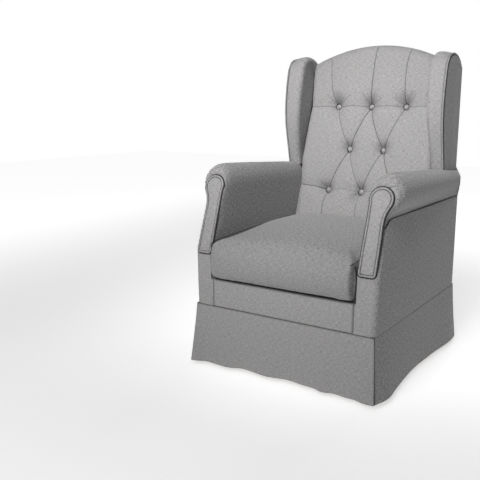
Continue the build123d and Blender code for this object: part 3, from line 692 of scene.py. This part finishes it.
def welt_shadow(points):
    """Painted shade: a dark line where the piping round the facing presses into the cover beside it."""
    shape = points.shape[:-1]
    flat = points.reshape(-1, 3)
    up = (flat[:, 2] - LEAN_FOOT[1]) * SLOPE
    gap = np.abs(flat[:, 1] - lean_y(flat[:, 2]))
    near = np.min([np.hypot(flat[:, 0] - x, up - v) for x, v in keyhole(6.4, 300)], axis=0)
    return (bell(near, 2.3 * MM) * (gap < 9 * MM)).reshape(shape)


def make_arm():
    """Rolled arm: inner face, roll, and a soft front drawn in round the facing, with painted shade in its
    seams and gathers.
    """
    turn = np.linspace(0, 1, ARM_COUNT)
    front = arm_section(0, ARM_COUNT)
    head = facing_side(ARM_COUNT, 5.5)
    flat_head = np.column_stack([head[:, 0], LEAN_FOOT[1] + head[:, 1] / SLOPE])
    toward = flat_head - front
    room = np.linalg.norm(toward, axis=1)
    toward /= room[:, None]
    bend = np.clip(0.86 * room, 3.5 * MM, 24 * MM)  # rounding of the front edge, as wide as there is room
    depth = bend * (1 + 0.8 * ease((bend - 6 * MM) / (12 * MM)))
    waves = gathers(turn)
    underside = 0.6 * bell(turn - 0.945, 0.004)  # shade in the seam under the roll
    rings, seams = [], []

    def add(path, gap, shade=0.0):
        rings.append(np.column_stack([path[:, 0], lean_y(path[:, 1]) + gap, path[:, 1]]))
        seams.append(np.clip(underside + shade, 0, 1))

    for y in np.linspace(REAR_Y, FRONT_Y, 80):
        path = arm_section(np.clip((y - FRONT_Y) / (REAR_Y - FRONT_Y), 0, 1) ** 1.2, ARM_COUNT)
        share = (REAR_Y - y) / (REAR_Y - FRONT_Y)
        start = lean_y(path[:, 1]) + depth
        gap = REAR_Y + (start - REAR_Y) * share - lean_y(path[:, 1])
        ripple = 0.35 * MM * waves * np.exp(-np.maximum(gap - depth, 0) / (18 * MM))
        add(path + path_normals(path) * ripple[:, None], gap)
    for angle in np.linspace(0, math.pi / 2, 13)[1:]:
        path = front + toward * (bend * (1 - math.cos(angle)))[:, None]
        ripple = (0.35 + 0.75 * math.sin(angle) ** 2) * MM * waves
        add(path + toward * (ripple * math.cos(angle))[:, None],
            depth * (1 - math.sin(angle)) + ripple * math.sin(angle))
    flat = front + toward * bend[:, None]
    for t in (0.25, 0.5, 0.75, 1.0):
        # painted shade in the gathers just above the facing's head, with a scalloped edge
        scallop = 0.8 * bell(turn - HEAD_TURN, 0.16, 4) * np.clip(t + 0.2 * waves - 0.3, 0, 1)
        add(flat + (flat_head - flat) * t, waves * 1.1 * MM + 1.0 * MM * t, scallop)
    spine = np.column_stack([np.interp(turn, (0, 0.45, 0.7, 1), (0.298, 0.298, 0.306, 0.315)),
                             np.interp(turn, (0, 0.45, 0.7, 1), (0.42, 0.6, 0.628, 0.57))])
    # painted shade on the middle of the front, under the facing
    add(spine, np.full(ARM_COUNT, 3 * MM), 0.5)
    shade = np.maximum(np.array(seams), welt_shadow(np.array(rings)))
    return skin("right_arm_pad_cover", rings, seam=shade)


def outer_panel_ring(z, inset):
    """Plan outline of the outside arm panel at height z: side, round corner and front return."""
    corner, thickness = 17 * MM, 9 * MM
    front_x = interp_mm(z, (221, 300, 410, 500, 567), (331, 334, 336, 331, 326.5)) - inset
    front_y = float(lean_y(z)) + inset + float(interp_mm(z, (221, 410, 430), (-4, -3, 0)))
    # below the facing the front runs in to the panel under the seat
    end_x = float(np.interp(z, [404 * MM, 412 * MM], [262.6 * MM + inset, 299 * MM]))
    along = np.linspace(REAR_Y - inset, front_y + corner, 60)
    forward = ease((0.12 - along) / 0.42)
    side_x = (BASE_X - inset) * (1 - forward) + front_x * forward
    up = np.clip((z - SEAM_Z) / (ARM_SEAM_Z - SEAM_Z), 0, 1)
    bulge = 2.2 * MM * np.sin(np.pi * np.clip((along + 0.36) / 0.72, 0, 1)) * np.sin(np.pi * up) ** 0.6
    side = np.column_stack([side_x + bulge, along])
    turn = np.linspace(0, math.pi / 2, 14)[1:-1]
    bend = np.column_stack([front_x - corner + corner * np.cos(turn),
                            front_y + corner - corner * np.sin(turn)])
    front = np.column_stack([np.linspace(front_x - corner, end_x, 26), np.full(26, front_y)])
    outer = np.vstack([side, bend, front])
    inner = (outer + path_normals(outer) * max(thickness - inset, 2 * MM))[::-1]
    return np.vstack([outer, inner])


def make_outer_panel():
    """Outside arm panel and arm front in one wrapped cover, from the skirt seam to the roll."""
    rim = 2.5 * MM
    turn = np.linspace(0, math.pi / 2, 6)
    middle = np.linspace(SEAM_Z + rim, ARM_SEAM_Z - rim, 70)[1:]
    heights = np.concatenate([(SEAM_Z + rim * (1 - np.sin(turn)))[::-1], middle,
                              ARM_SEAM_Z - rim + rim * np.sin(turn[1:])])
    insets = np.concatenate([(rim * (1 - np.cos(turn)) * 0.9)[::-1], np.zeros(len(middle)),
                             rim * (1 - np.cos(turn[1:]))])
    rings, seams = [], []
    for z, inset in zip(heights, insets):
        plan = outer_panel_ring(z, inset)
        near = ease((lean_y(ARM_SEAM_Z) + 52 * MM - plan[:, 1]) / (52 * MM))
        dip = 26 * MM * near * ((z - SEAM_Z) / (ARM_SEAM_Z - SEAM_Z)) ** 8
        rings.append(np.column_stack([plan, z - dip]))
        # painted shade in the seam at the skirt and in the seam under the roll
        shadow = max(0.5 * bell(z - SEAM_Z, 1.2 * MM), 0.45 * bell(z - ARM_SEAM_Z, 1.4 * MM))
        seams.append(np.full(len(plan), shadow))
    shade = np.maximum(np.array(seams), welt_shadow(np.array(rings)))
    return skin("right_outer_panel", rings, seam=shade)


def keyhole(grow=0.0, count=180):
    """Outline of the facing on its slope, grown by some mm: (x, length up the slope), anticlockwise."""
    head_x, head_v, radius = 305.5, 228.0, 31.0 + grow
    inner, outer, waist = 276.5 - grow, 319.5 + grow, 317.5 + grow
    corner = 5.0 + grow

    def arc(x, v, r, start, end, steps):
        turns = np.radians(np.linspace(start, end, steps))
        return [(x + r * math.cos(a), v + r * math.sin(a)) for a in turns]

    points = (arc(outer - corner, corner - grow, corner, -90, 0, 5)
              + [(outer, 45), (outer - 0.8, 95), (waist, 135), (waist, 165), (waist + 5.0, 190)]
              + arc(head_x, head_v, radius, -24, 200, 17)
              + [(inner + 0.5, 190), (inner + 0.8, 140), (inner, 70)]
              + arc(inner + corner, corner - grow, corner, 180, 270, 5))
    return curve_mm(points, count, closed=True)


def on_slope(flat, lift):
    """Points (x, length up the slope) of the leaning arm front, lifted off it, in 3-D."""
    flat = np.asarray(flat)
    lift = np.broadcast_to(lift, flat.shape[:1])
    y = LEAN_FOOT[0] + flat[:, 1] * LEAN / SLOPE - lift / SLOPE
    z = LEAN_FOOT[1] + flat[:, 1] / SLOPE + lift * LEAN / SLOPE
    return np.column_stack([flat[:, 0], y, z])


def make_facing():
    """Keyhole facing: a thin padded panel with a soft edge."""
    outline = keyhole(-0.3)
    low = np.argmin(np.abs(outline[:, 1] - outline[:, 1].min()) + 0.2 * np.abs(outline[:, 0] - 0.298))
    outline = np.roll(outline, -low, axis=0)
    count = len(outline)
    share = 1 - np.abs(1 - 2 * np.arange(count) / count)
    spine = np.column_stack([np.interp(share, (0, 0.62, 0.86, 1), (0.298, 0.2975, 0.304, 0.3055)),
                             np.interp(share, (0, 0.05, 0.86, 1), (0.010, 0.018, 0.220, 0.229))])
    rings = [on_slope(spine, -1.5 * MM), on_slope(outline + (spine - outline) * 0.02, -1.5 * MM)]
    for t, lift in ((0.0, 1.2), (0.0, 2.6), (0.04, 4.4), (0.10, 5.4), (0.2, 6.0), (0.4, 6.6), (0.7, 7.0),
                    (1.0, 7.2)):  # share of the way to the spine, and lift in mm
        rings.append(on_slope(outline + (spine - outline) * t, lift * MM))
    # painted shade in the seam round the facing's edge, where it meets the piping
    seam = np.zeros((len(rings), count))
    seam[1:4] = 1.0
    seam[4] = 0.35
    return skin("right_arm_facing_pad", rings, caps=False, seam=seam)


def make_welt():
    """Piping sewn round the facing, with painted shade on it towards where it meets the cloth along both of
    its sides.
    """
    radius, lift = 3.0 * MM, 3.6 * MM
    path = on_slope(keyhole(3.3, count=260), lift)
    welt = tube("right_facing_welt", path, radius, sides=14)
    normal = Vector((0, -1, LEAN)) / SLOPE
    foot = Vector((0, *LEAN_FOOT))
    height = np.array([(vert.co - foot).dot(normal) - lift for vert in welt.data.vertices])
    # painted shade: darker towards where the piping meets the cloth
    set_seam(welt.data, 1 - np.clip((height / radius + 0.75) / 0.9, 0, 1))
    return welt


def make_facing_seam():
    """Cord painted dark outside the piping round the facing, standing for the shade in the gap there."""
    path = on_slope(keyhole(7.3, count=260), 0.8 * MM)
    return tube("right_facing_seam", path, 2.7 * MM, sides=10)


def make_arms():
    """Both arms with their panels, facings and piping."""
    right = [make_arm(), make_outer_panel(), make_facing(), make_welt(), make_facing_seam()]
    for name, (pad, panel, face, welt, gap) in both_sides(right):
        # the gap cord is painted fully dark as shade
        darken(gap)
        place(gap, PIPING, "piping")
        upholster(pad, f"{name}_arm_pad", fill=0.7)
        upholster(panel, "side_panels", "arm_front_covers", fill=0.3)
        upholster(face, f"{name}_arm_facing", fill=0.5)
        place(welt, PIPING, "piping", "facing_pipings")


# ---- Wings -------------------------------------------------------
WING_X = 313 * MM
WING_PROFILE = [(228, 664), (210, 740), (191, 820), (186, 883), (191, 954), (203, 1022), (216, 1050),
                (236, 1068), (270, 1077), (308, 1073), (340, 1059), (366, 1036)]


def wing_profile(count):
    """Outer front and top edge of a wing, in Y and Z, and its inward normals."""
    path = curve_mm(WING_PROFILE, count)
    return path, path_normals(path)


def make_wing():
    """Padded wing: a crowned strip along front and top, a soft inner edge and a flat inner face."""
    count = 110
    path, inward = wing_profile(count)
    spine_y, corner = 352 * MM, 17 * MM
    spine_z = np.minimum(path[:, 1], 1000 * MM)
    top = ease((path[:, 1] - 1.03) / 0.05) * ease((path[:, 0] - 0.2) / 0.06)
    crown = (4.5 + 5.0 * top) * MM
    strip, turn = np.linspace(0, 1, 14), np.linspace(0, math.pi / 2, 9)[1:]
    inner = np.linspace(0, 1, 16)[1:, None]
    rings = []
    for i, (y, z) in enumerate(path):
        inner_x = interp_mm(z, (676, 723, 800, 873, 1014, 1080), (269, 268, 260, 254, 249, 253))
        width = WING_X - inner_x - corner
        x = np.concatenate([[WING_X - 0.5 * MM, WING_X], WING_X - 1.0 * MM - width * strip,
                            inner_x + corner * (1 - np.sin(turn))])
        depth = np.concatenate([[4 * MM, 1.2 * MM], -crown[i] * np.sin(math.pi * strip / 2) ** 0.8,
                                corner * (1 - np.cos(turn)) - crown[i]])
        outer = np.column_stack([x, y + inward[i, 0] * depth, z + inward[i, 1] * depth])
        spine = np.array([back_half_width(z) + 2 * MM, spine_y, spine_z[i]])
        face = outer[-1] + (spine - outer[-1]) * inner
        face[:, 0] += 3 * MM * np.sin(math.pi * inner[:, 0])
        rings.append(np.vstack([outer, face, [WING_X - 4 * MM, spine_y, spine_z[i]]]))
    # painted shade along the wing's outer edge, next to its piping
    seam = np.zeros((count, len(rings[0])))
    seam[:, 0:3] = 0.9
    seam[:, 3] = 0.25
    return skin("right_wing_pad_cover", rings, seam=seam)


def make_wing_panel():
    """Outer panel of a wing: flat fabric over board, slightly crowned, with a turned edge."""
    count = 110
    path, inward = wing_profile(count)
    spine = np.column_stack([np.full(count, REAR_Y + 1.5 * MM), np.minimum(path[:, 1], 1000 * MM)])
    rings = []
    # share of the way to the spine, distance inside the edge, and lift, both in mm
    layers = ((0.0, 2.6, -0.5), (0.0, 2.2, 1.2), (0.018, 2.6, 2.4), (0.035, 3.0, 3.6), (0.06, 3.0, 4.3),
              (0.2, 3.0, 5.0), (0.5, 2.0, 5.4), (1.0, 0.0, 5.0))
    for t, pull, lift in layers:
        p = path + inward * pull * MM
        rings.append(np.column_stack([np.full(count, WING_X + lift * MM), p + (spine - p) * t]))
    back = rings[0].copy()
    back[:, 1:] = spine
    rings = np.transpose(np.array([back] + rings), (1, 0, 2))
    # painted shade along the panel's turned edge, next to the piping
    seam = np.zeros(rings.shape[:2])
    seam[:, 1:5] = 1.0
    seam[:, 4] = 0.7
    return skin("right_wing_outer_panel", rings, seam=seam)


def make_wing_welt():
    """Piping between a wing's front strip and its outer panel."""
    path, inward = wing_profile(160)
    points = np.column_stack([np.full(len(path), WING_X + 1.2 * MM), path - inward * 1.2 * MM])
    return tube("right_wing_welt", points, 2.4 * MM, sides=10, closed=False)


def make_wings():
    """Both wings with their outer panels and piping."""
    right = [make_wing(), make_wing_panel(), make_wing_welt()]
    for name, (pad, panel, welt) in both_sides(right):
        upholster(pad, f"{name}_wing_pad", fill=0.6)
        upholster(panel, "wing_outer_panels", fill=0.2)
        place(welt, PIPING, "piping", "wing_pipings")


# ---- Seat cushion and front panel --------------------------------
def rounded(points, half, radius):
    """Cube-surface points pushed onto a box with round edges."""
    q = points * half
    core = np.clip(q, -(half - radius), half - radius)
    d = q - core
    return core + radius * unit(d)


def square_to_rounded(u, v, half_x, half_y, radius):
    """Plan position of a square's point on a rectangle with round corners, and its edge distance."""
    x, y = u * half_x, v * half_y
    core_x = np.clip(x, -(half_x - radius), half_x - radius)
    core_y = np.clip(y, -(half_y - radius), half_y - radius)
    dx, dy = x - core_x, y - core_y
    longest = np.maximum(np.abs(dx), np.abs(dy))
    length = np.maximum(np.hypot(dx, dy), 1e-12)
    x, y = core_x + dx * longest / length, core_y + dy * longest / length
    edge = np.minimum(half_x - np.abs(core_x), half_y - np.abs(core_y)) - longest
    return x, y, np.maximum(edge, 0)


def make_cushion():
    """Seat cushion: crowned top, soft front edge, boxed sides that bulge in front of the arms."""
    cols, rows, belt = 131, 141, 18
    front_y, rear_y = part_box("seat_cushion")[0].y + 1 * MM, 178 * MM
    half_x, half_y, mid_y = 262 * MM, (rear_y - front_y) / 2, (rear_y + front_y) / 2
    base_z, edge_z = PANEL_TOP + 2.5 * MM, 444 * MM
    u, v = np.meshgrid(np.linspace(-1, 1, cols), np.linspace(-1, 1, rows))
    x, y, edge = square_to_rounded(u, v, half_x, half_y, 11 * MM)
    front = 1 - ease((v + 1) / 0.55)
    soft = 15 * MM + 22 * MM * front * (1 - u**8)
    roll = 1 - (1 - np.clip(edge / soft, 0, 1)) ** 2
    drop = soft * (1 - np.sqrt(np.clip(roll, 0, 1)))
    across = np.clip(1 - np.abs(u) ** 2.6, 0, 1)
    rise = 17 * MM * ease((v + 1) / 1.2) + 2 * MM
    along = np.clip(1 - np.abs(np.clip((v - 0.1) / 1.1, -1, 1)) ** 2.4, 0, 1)
    crown = 31 * MM * across**0.8 * along**0.8
    top = edge_z + rise + crown - drop + 5 * MM * front * across
    verts = [np.stack([x, y + mid_y, top], axis=-1).reshape(-1, 3)]
    faces, loop = grid_faces(rows, cols), grid_rim(rows, cols)
    rim = verts[0][loop]
    n = len(loop)
    inward = np.array([0, mid_y, 0]) - rim
    inward[:, 2] = 0
    inward = unit(inward)
    for j in range(1, belt + 1):  # boxing: swells between its seams and turns in at the foot
        t = j / belt
        ring = rim.copy()
        ring[:, 2] = rim[:, 2] + (base_z - rim[:, 2]) * t
        ring -= inward * (3.0 * MM * math.sin(math.pi * t) - 5.0 * MM * max(0.0, (t - 0.86) / 0.14) ** 2)
        verts.append(ring)
        upper, loop = loop, range(rows * cols + (j - 1) * n, rows * cols + j * n)
        faces += band(upper, loop)
    faces.append(tuple(loop))
    p = np.vstack(verts)
    # the cushion's nose stands out past the arm fronts and swells beside them, more on the left
    nose = ease((-0.366 - p[:, 1]) / 0.018)
    height = np.clip((p[:, 2] - base_z) / (edge_z - base_z), 0, 1)
    side = ease((np.abs(p[:, 0]) - 0.19) / 0.07) * np.sin(math.pi * np.clip(height, 0, 1) ** 0.8) ** 0.6
    p[:, 0] += np.where(p[:, 0] < 0, -17 * MM, -8 * MM) * nose * side
    ends = 1 - (p[:, 0] / half_x) ** 8
    p[:, 1] -= 16 * MM * nose * ends * np.sin(math.pi * (0.04 + 0.96 * height)) ** 0.7
    p[:, 2] += 3 * MM * ease((-0.372 - p[:, 1]) / 0.012) * (1 - height) ** 3
    cushion = finish_mesh("seat_cushion_cover", p, faces)
    inflate(cushion, voxel=6 * MM, pressure=4.0, frames=20, cap=8 * MM)
    settle_cushion(cushion, base_z)
    upholster(cushion, "seat_cushion", fill=0.8)
    edge_path = [(251, -396, 437), (256, -391, 440), (260.5, -382, 443), (263, -368, 446),
                 (263.5, -340, 449), (263.5, -280, 452), (263.5, -150, 458), (263.5, 0, 463),
                 (263.5, 150, 466)]
    gap_path = [(265, -379, 318), (266, -379.5, 350), (267, -379.5, 385), (266, -379.5, 415),
                (263, -381, 434)]
    # cords painted dark stand for the shade in the seam along the top edge and in the gaps beside the arm
    # fronts
    for side, name in SIDES:
        edge = smooth_path(np.array(edge_path) * MM * (side, 1, 1), 120)
        edge[:, 0] -= 3 * MM if side < 0 else 0
        seam_shade_cord(f"{name}_cushion_seam", edge, 1.3 * MM, "upholstery")
        gap = smooth_path(np.array(gap_path) * MM * (side, 1, 1), 60)
        seam_shade_cord(f"{name}_cushion_gap", gap, 2.4 * MM, "upholstery")
    # painted shade: dark cord in the gap between the cushion's nose and the front panel
    under = np.array([(-261, -366, 1.5), (0, -367, 1.5), (261, -366, 1.5)]) * MM + (0, 0, PANEL_TOP)
    seam_shade_cord("cushion_gap_seam", smooth_path(under, 80), 3.4 * MM, "upholstery", sides=10)


def inflate(obj, voxel, pressure, frames, cap):
    """Blow a padded piece up a little with a cloth simulation and keep the result in its mesh."""
    scene = bpy.context.scene
    remesh = obj.modifiers.new("remesh", "REMESH")
    remesh.mode = "VOXEL"
    remesh.voxel_size = voxel
    remesh.use_smooth_shade = True
    take_result(obj)
    start = points_of(obj)
    cloth = obj.modifiers.new("cloth", "CLOTH")
    cloth.settings.use_pressure = True
    cloth.settings.uniform_pressure_force = pressure
    cloth.settings.effector_weights.gravity = 0
    cloth.point_cache.frame_end = frames
    for step in range(1, frames + 1):
        scene.frame_set(step)
    take_result(obj)
    moved = points_of(obj) - start
    length = np.maximum(np.linalg.norm(moved, axis=1, keepdims=True), 1e-9)
    kept = start + moved / length * cap * np.tanh(length / cap)
    obj.data.vertices.foreach_set("co", kept.ravel())
    scene.frame_set(1)
    finer = obj.modifiers.new("finer", "SUBSURF")
    finer.levels = finer.render_levels = 1
    take_result(obj)


def points_of(obj):
    """The piece's points as an array."""
    return np.array([v.co[:] for v in obj.data.vertices])


def take_result(obj):
    """Put the piece's evaluated mesh in place of its mesh and drop its modifiers."""
    graph = bpy.context.evaluated_depsgraph_get()
    mesh = bpy.data.meshes.new_from_object(obj.evaluated_get(graph), depsgraph=graph)
    obj.modifiers.clear()
    obj.data = mesh
    mesh.polygons.foreach_set("use_smooth", [True] * len(mesh.polygons))


def settle_cushion(obj, base_z):
    """Keep the blown-up cushion between the arms, on its panel and against the back, and paint shade on it.
    """
    arm_front, arm_x = -368 * MM, 265.5 * MM
    p = points_of(obj)
    p[:, 0] = np.where(p[:, 1] > arm_front, np.clip(p[:, 0], -arm_x, arm_x), p[:, 0])
    p[:, 1] = np.clip(p[:, 1], -418 * MM, 186 * MM)
    nose = ease((-0.371 - p[:, 1]) / 0.006)
    p[:, 2] = np.maximum(p[:, 2], base_z - 1.5 * MM + 3 * MM * nose)
    obj.data.vertices.foreach_set("co", p.ravel())
    obj.data.update()
    # painted shade: the boxing at both ends of the nose is darkened as if in the shade of the seam above
    # it, and the front face is darkened more towards its lower part
    normals = np.zeros(len(p) * 3)
    obj.data.vertex_normals.foreach_get("vector", normals)
    normals = normals.reshape(-1, 3)
    boxing = 0.42 * ease((np.abs(normals[:, 0]) - 0.5) / 0.3) * ease((arm_front - p[:, 1]) / 0.008)
    low = 1 - np.clip((p[:, 2] - base_z) / 0.125, 0, 1)
    painted_front_shade = ease((-normals[:, 1] - 0.3) / 0.5) * (0.07 + 0.13 * low)
    set_seam(obj.data, np.maximum(boxing, painted_front_shade))


def make_front_panel():
    """Panel under the seat between the two arm fronts."""
    points, faces = box_grid(60, 6, 16)
    low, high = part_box("front_panel")
    half = np.array([(high.x - low.x) / 2 - 0.2 * MM, 5.5 * MM, (high.z - low.z) / 2 - 0.3 * MM])
    middle = np.array([0, -BASE_Y + 5.5 * MM, (low.z + high.z) / 2])
    p = rounded(points, half, 4 * MM)
    n = p / half
    p[:, 1] -= 1.6 * MM * np.clip(-n[:, 1], 0, 1) * (1 - n[:, 0] ** 6) * (1 - n[:, 2] ** 2)
    edge = np.minimum(half[0] - np.abs(p[:, 0]), half[2] - np.abs(p[:, 2]))
    # painted shade: a dark line round the panel's edges, where it meets the pieces beside it
    seam = 0.85 * bell(edge, 1.6 * MM)
    panel = finish_mesh("front_panel_cover", p + middle, faces, seam)
    return upholster(panel, "front_panel", fill=0.3)


# ---- Outside back ------------------------------------------------
def make_outside_back():
    """Flat cover of the back, from the skirt seam to the arched crest."""
    count = 71
    heights = np.concatenate([np.linspace(SEAM_Z, 0.575, 40), np.linspace(0.58, 0.68, 20),
                              np.linspace(0.69, 1.03, 40)])
    half = interp_mm(heights, (221, 566, 585, 612, 640, 662, 675, 1030),
                     (330, 330, 333, 337, 337, 325, 318, 318))
    u = np.linspace(-1, 1, count)
    rows = [np.column_stack([u * w, np.full(count, z)]) for w, z in zip(half, heights)]
    x_top = u * 318 * MM
    arch_x = 262 * MM  # half width of the arch; beyond it the top slopes down over the wings
    crest = np.where(np.abs(x_top) < arch_x, arch_z(np.clip(x_top, -arch_x, arch_x)) - 3 * MM,
                     interp_mm(np.abs(x_top), (262, 318), (1054, 1034)))
    for s in np.linspace(0, 1, 16)[1:]:
        rows.append(np.column_stack([x_top, 1.03 + (crest - 1.03) * s]))
    flat = np.array(rows)
    nr = len(flat)
    row, col = np.arange(nr)[:, None], np.arange(count)[None, :]
    edge = np.minimum(np.minimum(row, nr - 1 - row), np.minimum(col, count - 1 - col))
    lift = 8.5 * MM * (1 - np.exp(-edge)) + 1.2 * MM * ease(edge / 12)
    outer = np.stack([flat[..., 0], REAR_Y + 1.0 * MM + lift, flat[..., 1]], axis=-1)
    inner = outer.copy()
    inner[..., 1] = REAR_Y + 0.8 * MM
    verts = np.vstack([outer.reshape(-1, 3), inner.reshape(-1, 3)])
    shift = nr * count
    faces = grid_faces(nr, count)
    faces += [tuple(q + shift for q in quad[::-1]) for quad in faces]
    loop = grid_rim(nr, count)
    faces += band(loop, [a + shift for a in loop])
    panel = finish_mesh("outside_back_cover", verts, faces)
    return upholster(panel, "outside_back_panel", fill=0.3)


# ---- Skirt -------------------------------------------------------
HEM_Z = 15 * MM
# how far the hem stands out from the seam line above it: (place along the panel, offset)
FRONT_HEM = [(-336, 24), (-312, 12), (-287, 2), (-235, 6), (-195, 6), (-150, -11), (-105, -8), (-45, -1),
             (25, -14), (85, -8), (130, -5), (166, 7), (201, -3), (245, 2), (276, 2), (312, 13), (346, 10)]
SIDE_HEM = [(-392, 9), (-375, 15), (-352, 23), (-331, 28), (-297, 29), (-227, 20), (-133, 11), (-59, 6),
            (5, 5), (87, 9), (158, 12), (250, 21), (316, 24), (360, 21), (392, 16)]
REAR_HEM = [(-346, 10), (-300, 12), (-240, 4), (-170, 8), (-100, -6), (-30, 2), (40, -8), (110, 4),
            (180, -2), (250, 8), (312, 13), (346, 10)]


def skirt_sheet(seam_half, hem_half, hem):
    """One hanging panel as a grid: place along it, how far it stands out, height and painted seam shade."""
    cols = 181
    u = np.linspace(-1, 1, cols)
    v = np.concatenate([[0, 0, 0], np.linspace(0, 1, 56)])[:, None]
    tuck = np.concatenate([[1.0, 0.6, 0.25], np.zeros(56)])[:, None]
    path = curve_mm(hem, 400)
    hem_place = u * hem_half
    out = np.interp(hem_place, path[:, 0], path[:, 1])
    along = u * seam_half + (hem_place - u * seam_half) * v
    stand = out[None, :] * v**1.25 - 2.6 * MM * tuck
    drop = SEAM_Z - HEM_Z
    # cloth that stands out further ends a little higher
    z = SEAM_Z - drop * v + stand**2 / (2 * drop) * v + 3.2 * MM * tuck
    # painted shade in the seam at the top, under the tuck
    shade = np.zeros(along.shape)
    shade[:3] = 0.7
    shade[3] = 0.25
    return along, stand, z, shade


def make_skirt():
    """Four hanging panels, open at the corners."""
    across, deep = (BASE_X, BASE_X + 12 * MM), (BASE_Y - 1 * MM, BASE_Y + 7 * MM)
    plans = (("front", -1, across, FRONT_HEM), ("rear", 1, across, REAR_HEM),
             ("right", 1, deep, SIDE_HEM), ("left", -1, deep, SIDE_HEM))
    for name, way, (seam_half, hem_half), hem in plans:
        along, stand, z, seam = skirt_sheet(seam_half, hem_half, hem)
        # painted shadow: the side panel's front end is darkened where the front panel shades it
        if hem is SIDE_HEM:  # dark at the open corner beside the front panel
            end_gap = seam_half + (hem_half - seam_half) * (SEAM_Z - z) / SEAM_Z - np.abs(along)
            seam = np.maximum(seam, 0.95 * bell(end_gap, 4.5 * MM) * (along < 0))
        if name == "left":  # its front end swings out past the front panel
            along = along - 14 * MM * ease((SEAM_Z - z) / 0.2) * ease((-0.30 - along) / 0.07)
        if hem is SIDE_HEM:
            points = np.stack([way * (BASE_X - 0.5 * MM + stand), along, z], axis=-1)
        else:
            points = np.stack([-way * along, way * (BASE_Y + 1.0 * MM + stand), z], axis=-1)
        sheet = finish_mesh(f"{name}_skirt_panel", points.reshape(-1, 3), grid_faces(*seam.shape), seam)
        solid = sheet.modifiers.new("cloth_thickness", "SOLIDIFY")
        solid.thickness = 2.2 * MM
        solid.offset = 0
        place(sheet, SKIRT, "skirt_cloth", f"{name}_skirt")
    # cord painted dark stands for the shade in the seam at the top of the rear skirt
    line = np.array([(x, BASE_Y - 3 * MM, SEAM_Z + 1 * MM) for x in (-BASE_X, 0, BASE_X)])
    seam_shade_cord("rear_skirt_seam", smooth_path(line, 60), 3.5 * MM, "upholstery", shade=0.9, sides=10)


# ---- Studio ------------------------------------------------------
def toward(azimuth, elevation):
    """Unit vector from the chair at these angles in degrees; azimuth 0 is straight in front."""
    a, e = math.radians(azimuth), math.radians(elevation)
    return Vector((math.sin(a) * math.cos(e), -math.cos(a) * math.cos(e), math.sin(e)))


def make_camera():
    """Camera at the chair's front right, a little above seat height, looking slightly down."""
    data = bpy.data.cameras.new("camera")
    data.lens, data.sensor_width = 50.6, 36.0
    camera = add_object("camera", data)
    turn = toward(34.26, 11.39).to_track_quat("Z", "Y").to_matrix().to_4x4()
    camera.matrix_world = Matrix.Translation((1.0714, -2.1713, 0.9033)) @ turn
    bpy.context.scene.camera = camera


def make_light(name, azimuth, elevation, distance, aim, size, power, spread):
    """Soft square light aimed at a point."""
    data = bpy.data.lights.new(name, "AREA")
    data.size, data.energy, data.spread = size, power, math.radians(spread)
    light = add_object(name, data)
    light.location = Vector(aim) + toward(azimuth, elevation) * distance
    light.rotation_euler = (Vector(aim) - light.location).to_track_quat("-Z", "Y").to_euler()


def make_studio():
    """Pale glowing floor, white surroundings and soft light from the front and above."""
    white = (1, 1, 1, 1)
    bpy.ops.mesh.primitive_plane_add(size=16, location=(0, 0, -0.0005))
    floor = bpy.context.active_object
    floor.name = "studio_floor"
    mat, tree, shader = new_material("pale_floor")
    at = add_node(tree, "SeparateXYZ", {0: object_place(tree)}).outputs
    reach = math_node(tree, "MAXIMUM", *(math_node(tree, "ABSOLUTE", at[k]) for k in (0, 1)))
    glow = add_node(tree, "MapRange", {"Value": reach, "From Min": 1.2, "From Max": 3.4, "To Min": 0.60,
                                       "To Max": 0.95}, interpolation_type="SMOOTHSTEP").outputs[0]
    feed(tree, shader, {"Base Color": (0.8, 0.8, 0.8, 1), "Roughness": 0.85, "Emission Color": white,
                        "Emission Strength": glow})
    floor.data.materials.append(mat)
    world = bpy.data.worlds.new("studio")
    bpy.context.scene.world = world
    world.use_nodes = True
    tree = world.node_tree
    soft = feed(tree, tree.nodes["Background"], {0: white, 1: 0.02}).outputs[0]
    bright = add_node(tree, "Background", {0: white}).outputs[0]
    seen = add_node(tree, "LightPath").outputs["Is Camera Ray"]
    mix = add_node(tree, "MixShader", {0: seen, 1: soft, 2: bright}).outputs[0]
    feed(tree, tree.nodes["World Output"], {0: mix})
    # name, azimuth, elevation, distance, aim, size, power, spread
    make_light("front", 0, 15, 3.3, (0, 0, 0.55), 1.6, 33.5, 180)
    make_light("upper_front", 2, 30, 2.4, (0, 0.08, 0.9), 0.8, 4.9, 50)
    make_light("upper_right", 14, 46, 2.4, (0, 0.1, 0.9), 0.8, 3.2, 50)
    make_light("rear", 180, 40, 3.5, (0, 0, 0.55), 1.6, 26, 180)
    bpy.context.scene.view_settings.view_transform = "Standard"


make_camera()
make_studio()
dress_cad()
make_back_pad()
make_buttons()
make_back_seams()
make_arms()
make_wings()
make_cushion()
make_front_panel()
make_outside_back()
make_skirt()
